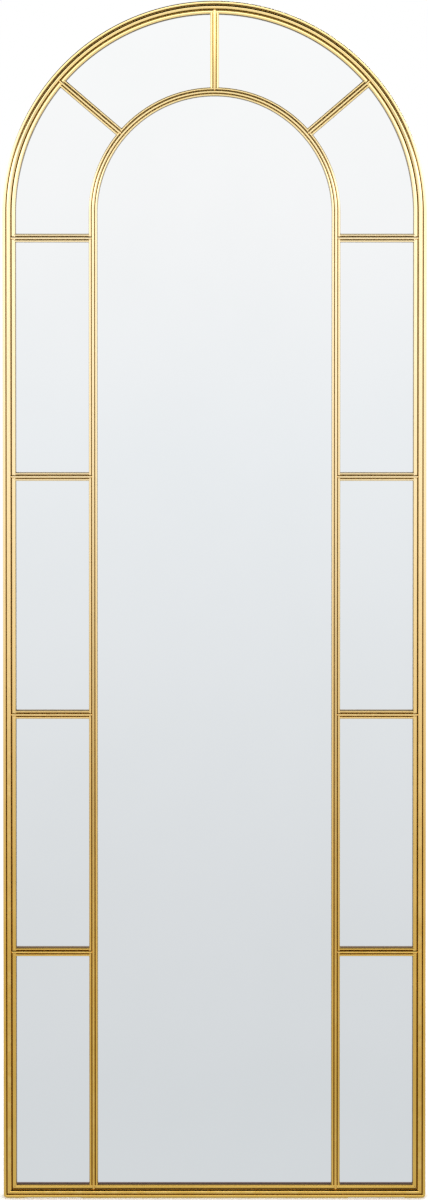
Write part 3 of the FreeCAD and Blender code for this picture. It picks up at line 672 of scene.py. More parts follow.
def weld_recipe() -> NodeRecipe:
    """Return the tree that lays overlapping weld ripples along a path of edges."""
    recipe = NodeRecipe("weld_ripples")
    recipe.ask("Material", "NodeSocketMaterial")
    recipe.ask("Ripple Pitch", "NodeSocketFloat", 0.0006)
    recipe.ask("Bead Radius", "NodeSocketFloat", 0.0008)
    recipe.ask("Flatness", "NodeSocketFloat", 0.6)
    recipe.ask("Seed", "NodeSocketInt", 7)
    path = recipe.node("GeometryNodeMeshToCurve", {"Mesh": recipe.given("Geometry")})
    inputs = {"Curve": path.outputs[0], "Length": recipe.given("Ripple Pitch")}
    steps = recipe.node("GeometryNodeResampleCurve", inputs, mode="LENGTH")
    ball = recipe.node("GeometryNodeMeshIcoSphere", {"Radius": 1.0, "Subdivisions": 2})
    soft = recipe.node("GeometryNodeSetShadeSmooth", {"Geometry": ball.outputs[0]})
    spread = recipe.node("FunctionNodeRandomValue", {
        2: LEAST_RIPPLE, 3: LARGEST_RIPPLE, "Seed": recipe.given("Seed")})
    size = recipe.math("MULTIPLY", spread.outputs[1], recipe.given("Bead Radius"))
    thin = recipe.math("MULTIPLY", size, recipe.given("Flatness"))
    scale = recipe.node("ShaderNodeCombineXYZ", {"X": size, "Y": thin, "Z": size})
    inputs = {"Points": steps.outputs[0], "Instance": soft.outputs[0], "Scale": scale.outputs[0]}
    row = recipe.node("GeometryNodeInstanceOnPoints", inputs)
    recipe.close(row.outputs[0])
    return recipe


def fastener_recipe() -> NodeRecipe:
    """Return the tree that sets one fastener at each point, each turned by its own angle."""
    recipe = NodeRecipe("fastener_set")
    recipe.ask("Material", "NodeSocketMaterial")
    recipe.ask("Fastener", "NodeSocketObject")
    recipe.ask("Most Turn", "NodeSocketFloat", math.tau)
    recipe.ask("Seed", "NodeSocketInt", 3)
    source = recipe.node("GeometryNodeObjectInfo", {"Object": recipe.given("Fastener")})
    spread = recipe.node("FunctionNodeRandomValue", {3: recipe.given("Most Turn"),
                                                     "Seed": recipe.given("Seed")})
    turn = recipe.node("ShaderNodeCombineXYZ", {"Y": spread.outputs[1]})
    inputs = {"Points": recipe.given("Geometry"), "Instance": source.outputs["Geometry"],
              "Rotation": turn.outputs[0]}
    row = recipe.node("GeometryNodeInstanceOnPoints", inputs)
    recipe.close(row.outputs[0])
    return recipe


def section_curve(recipe: NodeRecipe, name: str) -> bpy.types.NodeSocket:
    """Return the curve of a section that is given as an object."""
    source = recipe.node("GeometryNodeObjectInfo", {"Object": recipe.given(name)})
    return recipe.node("GeometryNodeMeshToCurve", {"Mesh": source.outputs["Geometry"]}).outputs[0]


def facing_curve(recipe: NodeRecipe) -> bpy.types.NodeSocket:
    """Return the given path as a curve whose sections stand towards the front."""
    path = recipe.node("GeometryNodeMeshToCurve", {"Mesh": recipe.given("Geometry")})
    inputs = {"Curve": path.outputs[0], "Normal": (0.0, -1.0, 0.0)}
    return recipe.node("GeometryNodeSetCurveNormal", inputs, mode="FREE").outputs[0]


def bar_recipe() -> NodeRecipe:
    """Return the tree that sweeps a reeded bar and lays a domed bead over its whole path.

    The path is as long as the bead. The bar itself starts and ends short of it, inside the side
    reeds of its neighbours, and the bead crosses those reeds.
    """
    recipe = NodeRecipe("reeded_bar")
    recipe.ask("Material", "NodeSocketMaterial")
    recipe.ask("Section", "NodeSocketObject")
    recipe.ask("Bead Radius", "NodeSocketFloat", 0.002)
    recipe.ask("Bead Axis Height", "NodeSocketFloat", 0.006)
    recipe.ask("Start Overrun", "NodeSocketFloat", 0.003)
    recipe.ask("End Overrun", "NodeSocketFloat", 0.005)
    curve = facing_curve(recipe)
    whole = recipe.node("GeometryNodeSplineLength").outputs["Length"]
    end = recipe.math("SUBTRACT", whole, recipe.given("End Overrun"))
    inputs = {"Curve": curve, 4: recipe.given("Start Overrun"), 5: end}
    short = recipe.node("GeometryNodeTrimCurve", inputs, mode="LENGTH")
    inputs = {"Curve": short.outputs[0], "Profile Curve": section_curve(recipe, "Section"),
              "Fill Caps": True}
    bar = recipe.node("GeometryNodeCurveToMesh", inputs)
    radius = recipe.given("Bead Radius")
    done = recipe.node("GeometryNodeSplineParameter").outputs["Length"]
    to_end = recipe.math("MINIMUM", done, recipe.math("SUBTRACT", whole, done))
    inside = recipe.math("MINIMUM", recipe.math("DIVIDE", to_end, radius), 1.0)
    beyond = recipe.math("POWER", recipe.math("SUBTRACT", 1.0, inside), 2.0)
    dome = recipe.math("SQRT", recipe.math("SUBTRACT", 1.0, beyond))
    lift = recipe.math("MULTIPLY", recipe.given("Bead Axis Height"), -1.0)
    offset = recipe.node("ShaderNodeCombineXYZ", {"Y": lift})
    axis = recipe.node("GeometryNodeSetPosition", {"Geometry": curve, "Offset": offset.outputs[0]})
    ring = recipe.node("GeometryNodeCurvePrimitiveCircle", {
        "Resolution": BEAD_SIDES, "Radius": radius})
    inputs = {"Curve": axis.outputs[0], "Profile Curve": ring.outputs[0], "Scale": dome}
    bead = recipe.node("GeometryNodeCurveToMesh", inputs)
    joined = recipe.node("GeometryNodeJoinGeometry")
    for part in (bar, bead):
        recipe.feed(joined.inputs[0], part.outputs[0])
    recipe.close(joined.outputs[0])
    return recipe


def moulding_recipe() -> NodeRecipe:
    """Return the tree that sweeps the outer moulding, mitres it and rounds its corners.

    What lies beyond the mitre plane slides back onto it: upwards where Rise is 1 (the stiles),
    sideways where Rise is 0 (the rail). What lies outside the corner's round moves onto it.
    """
    recipe = NodeRecipe("mitred_moulding")
    recipe.ask("Material", "NodeSocketMaterial")
    recipe.ask("Section", "NodeSocketObject")
    recipe.ask("Half Width", "NodeSocketFloat", 0.3)
    recipe.ask("Bottom", "NodeSocketFloat", 0.0015)
    recipe.ask("Corner Radius", "NodeSocketFloat", 0.0045)
    recipe.ask("Rise", "NodeSocketFloat", 1.0)
    inputs = {"Curve": facing_curve(recipe), "Profile Curve": section_curve(recipe, "Section"),
              "Fill Caps": True}
    bar = recipe.node("GeometryNodeCurveToMesh", inputs)
    rise = recipe.given("Rise")

    def corner_place() -> tuple[bpy.types.NodeSocket, ...]:
        """Return the distances in from the side and up from the bottom, and the X sign."""
        place = recipe.node("ShaderNodeSeparateXYZ",
                            {0: recipe.node("GeometryNodeInputPosition").outputs[0]})
        x = place.outputs["X"]
        inward = recipe.math("SUBTRACT", recipe.given("Half Width"), recipe.math("ABSOLUTE", x))
        upward = recipe.math("SUBTRACT", place.outputs["Z"], recipe.given("Bottom"))
        return inward, upward, recipe.math("SIGN", x)

    inward, upward, sign = corner_place()
    side = recipe.math("SUBTRACT", recipe.math("MULTIPLY", rise, 2.0), 1.0)
    past = recipe.math("MULTIPLY", side, recipe.math("SUBTRACT", inward, upward))
    past = recipe.math("MAXIMUM", past, 0.0)
    level = recipe.math("MULTIPLY", past, recipe.math("SUBTRACT", rise, 1.0))
    offset = recipe.node("ShaderNodeCombineXYZ", {"X": recipe.math("MULTIPLY", level, sign),
                                                  "Z": recipe.math("MULTIPLY", past, rise)})
    inputs = {"Geometry": bar.outputs[0], "Offset": offset.outputs[0]}
    mitred = recipe.node("GeometryNodeSetPosition", inputs)
    inward, upward, sign = corner_place()
    radius = recipe.given("Corner Radius")
    out = recipe.math("MAXIMUM", recipe.math("SUBTRACT", radius, inward), 0.0)
    down = recipe.math("MAXIMUM", recipe.math("SUBTRACT", radius, upward), 0.0)
    squares = recipe.math("ADD", recipe.math("POWER", out, 2.0), recipe.math("POWER", down, 2.0))
    reach = recipe.math("MAXIMUM", recipe.math("SQRT", squares), SMALLEST_REACH)
    shrink = recipe.math("SUBTRACT", 1.0, recipe.math("DIVIDE", radius, reach))
    shrink = recipe.math("MAXIMUM", shrink, 0.0)
    back_x = recipe.math("MULTIPLY", recipe.math("MULTIPLY", out, shrink), sign)
    offset = recipe.node("ShaderNodeCombineXYZ", {
        "X": recipe.math("MULTIPLY", back_x, -1.0), "Z": recipe.math("MULTIPLY", down, shrink)})
    inputs = {"Geometry": mitred.outputs[0], "Offset": offset.outputs[0]}
    recipe.close(recipe.node("GeometryNodeSetPosition", inputs).outputs[0])
    return recipe


# ------------------------------------------------------------------ the mirror's sizes


@dataclass(frozen=True)
class MirrorSizes:
    """The sizes that pieces share, in metres."""

    half_width: float = 0.300
    arch_z: float = 1.400
    bottom_z: float = 0.0015
    seam_y: float = -0.0095
    rear_y: float = 0.0105
    corner_radius: float = 0.0045
    moulding_width: float = 0.0185
    outer_reed: float = 0.0044
    mid_bead: float = 0.0064
    inner_reed: float = 0.0061
    mid_bead_height: float = 0.009
    moulding_floor: float = 0.00355
    reed_height: float = 0.007
    reed_flatness: float = 3.0
    bar_width: float = 0.012
    side_reed: float = 0.0035
    bar_bead: float = 0.004
    bar_bead_height: float = 0.008
    bar_floor: float = 0.00405
    bead_bite: float = 0.0002
    groove: float = 0.0008
    hoop_inset: float = 0.122
    top_bar_drop: float = 0.0348
    crossbars: int = 4
    radial_angle: float = 49.5
    tube_width: float = 0.010

    @property
    def moulding_inner(self) -> float:
        """Inner edge of the outer moulding, from the centre."""
        return self.half_width - self.moulding_width

    @property
    def hoop_outer(self) -> float:
        """Outer edge of the inner hoop, from the centre."""
        return self.half_width - self.hoop_inset

    @property
    def near_tip(self) -> float:
        """Where a bar's bead ends at the inner hoop, from the centre."""
        return self.hoop_outer - self.bar_width / 2 + self.bar_bead / 2 - self.bead_bite

    @property
    def far_tip(self) -> float:
        """Where a bar's bead ends at the outer moulding, from the centre."""
        return self.moulding_inner + self.inner_reed + self.groove + self.bead_bite

    @property
    def bar_heights(self) -> list[float]:
        """Centre heights of the crossbars, lowest first."""
        top = self.arch_z - self.top_bar_drop
        rail_top = self.bottom_z + self.moulding_width
        pitch = (top + self.bar_width / 2 - rail_top) / self.crossbars
        return [top - (self.crossbars - 1 - row) * pitch for row in range(self.crossbars)]


SIZES = MirrorSizes()


# ------------------------------------------------------------------ sub-assemblies


# The flatness of a ridge whose top is a half circle.
ROUND = 2.0


@dataclass(frozen=True)
class Ridge:
    """One ridge of a section: its two walls, its crest's height and how flat its top is."""

    left: float
    right: float
    crest: float
    flatness: float = ROUND

    @property
    def radius(self) -> float:
        """Half of the ridge's width."""
        return (self.right - self.left) / 2

    @property
    def middle(self) -> float:
        """The ridge's middle across the section."""
        return (self.right + self.left) / 2

    def top(self, steps: int) -> list[tuple[float, float]]:
        """Return the points of its top as heights and places across, from the left wall.

        Args:
            steps: how many stretches the top is divided into.

        Returns:
            The points. A flatness of 2 gives a half circle, and more gives a broader crown.
        """
        points = []
        for step in range(steps + 1):
            angle = math.pi * step / steps
            rise = max(math.sin(angle), 0.0) ** (2 / self.flatness)
            run = math.copysign(abs(math.cos(angle)) ** (2 / self.flatness), math.cos(angle))
            points.append((self.crest - self.radius * (1 - rise), self.middle - self.radius * run))
        return points


@dataclass(frozen=True)
class Section:
    """A bar's section: ridges over a grooved floor."""

    name: str
    ridges: tuple[Ridge, ...]
    floor: float
    arc_steps: int = 18
    fillet: float = 0.00028
    back_round: float = 0.0004
    corner_angles: tuple[int, ...] = (0, 30, 60, 90)

    def outline(self) -> list[Point]:
        """Return the closed outline, height along X and the way across along Y."""
        low, high = self.ridges[0].left, self.ridges[-1].right
        points = [(0.0, low + self.back_round), (self.back_round, low)]
        for number, ridge in enumerate(self.ridges):
            if number > 0:
                points += self.corner(ridge.left, -1)
            points += ridge.top(self.arc_steps)
            if number < len(self.ridges) - 1:
                points += reversed(self.corner(ridge.right, 1))
        points += [(self.back_round, high), (0.0, high - self.back_round)]
        return [(height, across, 0.0) for height, across in points]

    def corner(self, wall: float, way: int) -> list[tuple[float, float]]:
        """Return the hollow corner between the floor and a ridge's wall, from the floor up.

        Args:
            wall: the wall's place across.
            way: the side of the wall on which the floor lies.

        Returns:
            The corner's points.
        """
        points = []
        for degrees in self.corner_angles:
            angle = math.radians(degrees)
            rise = self.fillet * (1 - math.cos(angle))
            run = self.fillet * (1 - math.sin(angle))
            points.append((self.floor + rise, wall + way * run))
        return points

    def build(self) -> bpy.types.Object:
        """Return the outline as an object."""
        points = self.outline()
        edges = [(number, (number + 1) % len(points)) for number in range(len(points))]
        return add_object(self.name, mesh_of(self.name, points, edges))


@dataclass(frozen=True)
class BarEnd:
    """Where a bar's bead ends on its neighbour: the tip, the way into the bar, and the reed."""

    tip: Vector
    along: Vector
    reed_radius: float
    reed_middle: float
    flatness: float = ROUND

    def surface(self, into: float) -> float:
        """Return the neighbouring reed's height at a distance from the tip."""
        off = min(abs(into - self.reed_middle) / self.reed_radius, 1.0)
        rise = (1 - off**self.flatness) ** (1 / self.flatness)
        return SIZES.reed_height - self.reed_radius * (1 - rise)

    def point(self, into: float, across: float, height: float) -> Vector:
        """Return the place of a point given in the end's own directions."""
        side = Vector((-self.along.z, 0, self.along.x))
        place = self.tip + self.along * into + side * across
        return Vector((place.x, SIZES.seam_y - height, place.z))


@dataclass
class WeldedFront:
    """The gold bars that show from the front, with the welds where they meet.

    Attributes:
        finishes: every finish of the mirror.
        arc_degrees: the turn between two points of an arch.
        dome_steps: where a bead's domed end has points, in shares of the bead's radius.
        corner_steps: where the moulding has points near a bottom corner, from the corner.
        near_short: how far a bar's reeds stop short of its bead at the inner hoop.
        far_short: the same at the outer moulding.
        collar: one half of the weld round a bead's end: the way in from the tip, and across.
        weld_radius: radius of a weld ripple.
        weld_pitch: distance between two ripples.
        weld_flatness: a ripple's depth as a share of its width.
        weld_foot: height above the seam at which a weld starts.
        weld_seed: the seed of the ripples' sizes.
        mitre_steps: how many stretches a mitre's weld has over the inner reed.
        ends: the ends of the bars, noted while their paths are made.
    """

    finishes: FinishSet
    arc_degrees: float = 1.5
    dome_steps: tuple[float, ...] = (0.0, 0.03, 0.1, 0.2, 0.34, 0.5, 0.7, 1.0)
    corner_steps: tuple[float, ...] = (0.0, 0.0005, 0.0011, 0.0018, 0.0026, 0.0035, 0.0046, 0.0187)
    near_short: float = 0.0032
    far_short: float = 0.0051
    collar: tuple[tuple[float, float], ...] = (
        (0.0044, 0.0022), (0.0032, 0.00205), (0.002, 0.00195), (0.0008, 0.0014), (0.0001, 0.0))
    weld_radius: float = 0.00042
    weld_pitch: float = 0.00034
    weld_flatness: float = 0.8
    weld_foot: float = 0.0008
    weld_seed: int = 11
    mitre_steps: int = 8
    ends: list[BarEnd] = field(default_factory=list)

    def dome_distances(self, length: float) -> list[float]:
        """Return distances along a path, closer together over the domed ends of its bead."""
        near = [step * SIZES.bar_bead / 2 for step in self.dome_steps]
        return near + [length - step for step in reversed(near)]

    def arch(self, radius: float) -> list[Vector]:
        """Return the points of a half circle over the top, from right to left."""
        count = round(180.0 / self.arc_degrees)
        angles = [math.pi * number / count for number in range(count + 1)]
        return [Vector((radius * math.cos(angle), SIZES.seam_y,
                        SIZES.arch_z + radius * math.sin(angle))) for angle in angles]

    def path(self, name: str, points: list[Vector]) -> bpy.types.Object:
        """Return an open path of edges as an object."""
        edges = [(number, number + 1) for number in range(len(points) - 1)]
        return add_object(name, mesh_of(name, points, edges))

    def hoop_path(self) -> list[Vector]:
        """Return the path of the outer moulding up one stile and down the other."""
        stile = [Vector((SIZES.half_width, SIZES.seam_y, SIZES.bottom_z + step))
                 for step in self.corner_steps]
        return stile + self.arch(SIZES.half_width) + self.mirrored(stile)

    def mirrored(self, points: list[Vector]) -> list[Vector]:
        """Return the points mirrored left to right, in reverse order."""
        return [Vector((-point.x, point.y, point.z)) for point in reversed(points)]

    def rail_path(self) -> list[Vector]:
        """Return the path of the bottom rail from left to right."""
        right = [Vector((SIZES.half_width - step, SIZES.seam_y, SIZES.bottom_z))
                 for step in reversed(self.corner_steps)]
        return self.mirrored(right) + right

    def inner_path(self) -> list[Vector]:
        """Return the path of the inner hoop's bead from one foot over the arch to the other."""
        radius = SIZES.hoop_outer - SIZES.bar_width / 2
        foot = SIZES.bottom_z + SIZES.half_width - SIZES.far_tip
        steps = [step * SIZES.bar_bead / 2 for step in self.dome_steps]
        leg = [Vector((radius, SIZES.seam_y, foot + step)) for step in steps]
        self.ends.append(self.far_end(Vector((radius, 0, foot)), Vector((0, 0, 1))))
        self.ends.append(self.far_end(Vector((-radius, 0, foot)), Vector((0, 0, 1))))
        return leg + self.arch(radius) + self.mirrored(leg)

    def far_end(self, tip: Vector, along: Vector) -> BarEnd:
        """Return the end of a bar on the outer moulding."""
        middle = SIZES.far_tip - SIZES.moulding_inner - SIZES.inner_reed / 2
        return BarEnd(tip, along, SIZES.inner_reed / 2, middle, SIZES.reed_flatness)

    def near_end(self, tip: Vector, along: Vector) -> BarEnd:
        """Return the end of a bar on the inner hoop."""
        middle = SIZES.hoop_outer - SIZES.side_reed / 2 - SIZES.near_tip
        return BarEnd(tip, along, SIZES.side_reed / 2, middle)

    def straight_path(self, hub: Vector, out: Vector) -> list[Vector]:
        """Return the path of a straight bar from the inner hoop outwards, and note its ends.

        Args:
            hub: the point that distances are taken from.
            out: the bar's direction, from the hub outwards.

        Returns:
            The path's points.
        """
        near, far = hub + out * SIZES.near_tip, hub + out * SIZES.far_tip
        self.ends.append(self.near_end(near, out))
        self.ends.append(self.far_end(far, -out))
        depth = Vector((0, SIZES.seam_y, 0))
        return [near + depth + out * step for step in self.dome_distances((far - near).length)]

    def bars(self) -> dict[str, list[Vector]]:
        """Return the path of every bar with a side reed at each edge, by its node's name."""
        paths = {"inner_hoop": self.inner_path()}
        for row, height in enumerate(SIZES.bar_heights):
            for side in Side:
                name = f"crossbar_{side.word}_{row + 1}"
                paths[name] = self.straight_path(Vector((0, 0, height)), Vector((side.sign, 0, 0)))
        for place, turn in (("left", -1), ("centre", 0), ("right", 1)):
            angle = math.radians(turn * SIZES.radial_angle)
            out = Vector((math.sin(angle), 0, math.cos(angle)))
            paths[f"radial_bar_{place}"] = self.straight_path(Vector((0, 0, SIZES.arch_z)), out)
        return paths

    def bead_welds(self) -> bpy.types.Mesh:
        """Return the lines of weld round every bead's end, over the reed that it crosses."""
        points: list[Vector] = []
        edges: list[tuple[int, int]] = []
        for end in self.ends:
            first = len(points)
            line = [(into, sign * across) for sign in (1, -1) for into, across in self.collar]
            line = line[:len(self.collar)] + line[:len(self.collar) - 1:-1][1:]
            for into, across in line:
                points.append(end.point(into, across, end.surface(into)))
            edges += [(number, number + 1) for number in range(first, len(points) - 1)]
            for sign in (1, -1):
                corner = end.reed_middle + end.reed_radius
                across = sign * SIZES.bar_width / 2
                edges.append((len(points), len(points) + 1))
                points.append(end.point(corner, across, self.weld_foot))
                points.append(end.point(corner, across, end.surface(corner)))
        return mesh_of("bead_weld_paths", points, edges)

    def mitre_welds(self) -> bpy.types.Mesh:
        """Return the lines of weld over the inner part of both mitres."""
        points: list[Vector] = []
        edges: list[tuple[int, int]] = []
        reed = Ridge(0.0, SIZES.inner_reed, SIZES.reed_height, SIZES.reed_flatness)
        steps = [(0.0, self.weld_foot)]
        steps += [(across, height) for height, across in reed.top(self.mitre_steps)]
        steps.append((SIZES.inner_reed + SIZES.groove / 2, SIZES.moulding_floor))
        for side in Side:
            first = len(points)
            for step, height in steps:
                inward = SIZES.moulding_width - step
                points.append(Vector((side.sign * (SIZES.half_width - inward),
                                      SIZES.seam_y - height, SIZES.bottom_z + inward)))
            edges += [(number, number + 1) for number in range(first, len(points) - 1)]
        return mesh_of("mitre_weld_paths", points, edges)

    def weld(self, name: str, mesh: bpy.types.Mesh, recipe: NodeRecipe,
             material: bpy.types.Material) -> None:
        """Lay weld ripples along a mesh's edges.

        Args:
            name: the new piece's name.
            mesh: the edges.
            recipe: the tree that turns edges into ripples.
            material: the ripples' lacquer.
        """
        piece = add_object(name, mesh)
        recipe.apply(piece, {"Material": material, "Seed": self.weld_seed,
                             "Bead Radius": self.weld_radius, "Ripple Pitch": self.weld_pitch,
                             "Flatness": self.weld_flatness})
        settle(piece, Body.FRAME)

    def sweep_bars(self, lacquer: bpy.types.Material) -> None:
        """Sweep the inner hoop, the crossbars and the radial bars."""
        bead, half = SIZES.bar_bead / 2, SIZES.bar_width / 2
        section = Section("bar_section", (
            Ridge(-half, SIZES.side_reed - half, SIZES.reed_height),
            Ridge(half - SIZES.side_reed, half, SIZES.reed_height)), SIZES.bar_floor).build()
        sweep = bar_recipe()
        for name, points in self.bars().items():
            piece = self.path(f"gold_{name}", points)
            start = self.far_short if name == "inner_hoop" else self.near_short
            sweep.apply(piece, {"Material": lacquer, "Section": section, "Bead Radius": bead,
                                "Bead Axis Height": SIZES.bar_bead_height - bead,
                                "Start Overrun": start, "End Overrun": self.far_short})
            self.finish_bar(piece, name)
        bpy.data.objects.remove(section)

    def sweep_moulding(self, lacquer: bpy.types.Material) -> None:
        """Sweep the outer hoop and the bottom rail, mitred at the corners."""
        inner, outer = -SIZES.moulding_width, -SIZES.outer_reed
        middle = inner + SIZES.inner_reed + SIZES.groove
        section = Section("moulding_section", (
            Ridge(inner, inner + SIZES.inner_reed, SIZES.reed_height, SIZES.reed_flatness),
            Ridge(middle, middle + SIZES.mid_bead, SIZES.mid_bead_height),
            Ridge(outer, 0.0, SIZES.reed_height, SIZES.reed_flatness)),
            SIZES.moulding_floor).build()
        sweep = moulding_recipe()
        for name, points, rise in (("frame_hoop", self.hoop_path(), 1.0),
                                   ("bottom_rail", self.rail_path(), 0.0)):
            piece = self.path(f"gold_{name}", points)
            sweep.apply(piece, {"Material": lacquer, "Section": section, "Rise": rise,
                                "Half Width": SIZES.half_width, "Bottom": SIZES.bottom_z,
                                "Corner Radius": SIZES.corner_radius})
            self.finish_bar(piece, name)
        bpy.data.objects.remove(section)

    def build(self, welds: NodeRecipe) -> None:
        """Sweep the bars and lay the welds.

        Args:
            welds: the tree that turns edges into weld ripples.
        """
        lacquer = self.finishes.bars.material()
        material = self.finishes.weld.material()
        self.sweep_bars(lacquer)
        self.sweep_moulding(lacquer)
        self.weld("gold_bead_welds", self.bead_welds(), welds, material)
        self.weld("gold_mitre_welds", self.mitre_welds(), welds, material)

    def finish_bar(self, piece: bpy.types.Object, node: str) -> None:
        """Close, shade and settle a swept bar in place of its node."""
        tidy_normals(piece.data)
        shade_by_angle(piece)
        settle(piece, Body.FRAME, (node,))


@dataclass
class TubeFrame:
    """The tube behind the moulding and the hanger plates, with their welds."""

    finishes: FinishSet
    plate_low: float = 1.300
    plate_height: float = 0.046
    bead_radius: float = 0.0014
    bead_pitch: float = 0.0011
    bead_flatness: float = 0.45
    bead_margin: float = 0.003
    bead_seed: int = 5

    def plate_welds(self) -> bpy.types.Mesh:
        """Return the lines along which the hanger plates are welded to the tube."""
        points: list[Point] = []
        edges: list[tuple[int, int]] = []
        x = SIZES.half_width - SIZES.tube_width
        for side in Side:
            first = len(points)
            points.append((side.sign * x, SIZES.rear_y, self.plate_low + self.bead_margin))
            points.append((side.sign * x, SIZES.rear_y,
                           self.plate_low + self.plate_height - self.bead_margin))
            edges.append((first, first + 1))
        return mesh_of("plate_weld_paths", points, edges)

    def build(self, recipe: NodeRecipe) -> None:
        """Dress the tubes and plates and lay the plates' welds.

        Args:
            recipe: the tree that turns paths into weld ripples.
        """
        names = ("rear_hoop_tube", "rear_bottom_tube", "left_hanger_plate", "right_hanger_plate")
        dress(names, self.finishes.tube.material())
        welds = add_object("hanger_plate_welds", self.plate_welds())
        recipe.apply(welds, {"Material": self.finishes.weld.material(), "Seed": self.bead_seed,
                             "Ripple Pitch": self.bead_pitch, "Bead Radius": self.bead_radius,
                             "Flatness": self.bead_flatness})
        settle(welds, Body.FRAME)


@dataclass
class GlassPack:
    """Mirror sheet, tape, foam, board and setting blocks."""

    finishes: FinishSet
    arris: float = 0.0006
    arc_steps: int = 120

    def rim(self, inset: float, depth: float) -> list[Vector]:
        """Return the sheet's arched outline, moved inwards, at a depth.

        Args:
            inset: how far inwards, in metres.
            depth: the outline's place along Y.

        Returns:
            The points, anticlockwise as seen from the front.
        """
        low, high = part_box("mirror_glass")
        radius = high.x - inset
        points = [Vector((-radius, depth, low.z + inset)), Vector((radius, depth, low.z + inset))]
        for step in range(self.arc_steps + 1):
            angle = math.pi * step / self.arc_steps
            points.append(Vector((radius * math.cos(angle), depth,
                                  SIZES.arch_z + radius * math.sin(angle))))
        return points

    def sheet(self) -> bpy.types.Mesh:
        """Return the mirror sheet: silvered front, seamed edges and painted back."""
        low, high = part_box("mirror_glass")
        rings = [
            self.rim(self.arris, low.y), self.rim(0.0, low.y + self.arris),
            self.rim(0.0, high.y - self.arris), self.rim(self.arris, high.y),
        ]
        count = len(rings[0])
        faces = [tuple(range(count)), tuple(reversed(range(3 * count, 4 * count)))]
        for ring in range(len(rings) - 1):
            for number in range(count):
                following = (number + 1) % count
                near, far = ring * count, (ring + 1) * count
                faces.append((near + number, far + number, far + following, near + following))
        mesh = mesh_of("mirror_sheet", [point for ring in rings for point in ring], faces=faces)
        for finish in (self.finishes.silver, self.finishes.back_paint, self.finishes.glass_edge):
            mesh.materials.append(finish.material())
        for number, face in enumerate(mesh.polygons):
            face.material_index = min(number, 2)
        return mesh

    def build(self) -> None:
        """Build the sheet and dress what holds it."""
        sheet = add_object("mirror_sheet", self.sheet())
        tidy_normals(sheet.data, smooth=False)
        settle(sheet, Body.FRAME, ("mirror_glass",))
        dress(("glass_gasket",), self.finishes.tape.material())
        dress(("foam_sheet",), self.finishes.foam.material())
        dress(("backing_board",), self.finishes.board.material())
        dress(("left_setting_block", "right_setting_block"), self.finishes.black_rubber.material())


def lathe(name: str, rows: list[tuple[float, float]], sides: int,
          lean: Callable[[float, float, float], float] | None = None) -> bpy.types.Mesh:
    """Turn a profile round the Y axis and close it.

    Args:
        name: the mesh's name.
        rows: radius and Y of each ring; a radius of 0 is a pole.
        sides: how many sides the turned form has.
        lean: gives a ring's radius from its plain radius, its Y and the angle.

    Returns:
        The closed mesh.
    """
    points: list[Point] = []
    rings: list[list[int]] = []
    for radius, y in rows:
        ring = []
        for side in range(sides if radius > 0 else 1):
            angle = math.tau * side / sides
            reach = lean(radius, y, angle) if lean else radius
            ring.append(len(points))
            points.append((reach * math.cos(angle), y, reach * math.sin(angle)))
        rings.append(ring)
    faces = []
    for first, second in zip(rings, rings[1:]):
        for side in range(sides):
            corners = [first[side % len(first)], first[(side + 1) % sides % len(first)],
                       second[(side + 1) % sides % len(second)], second[side % len(second)]]
            faces.append(tuple(dict.fromkeys(corners)))
    mesh = mesh_of(name, points, faces=faces)
    tidy_normals(mesh)
    return mesh


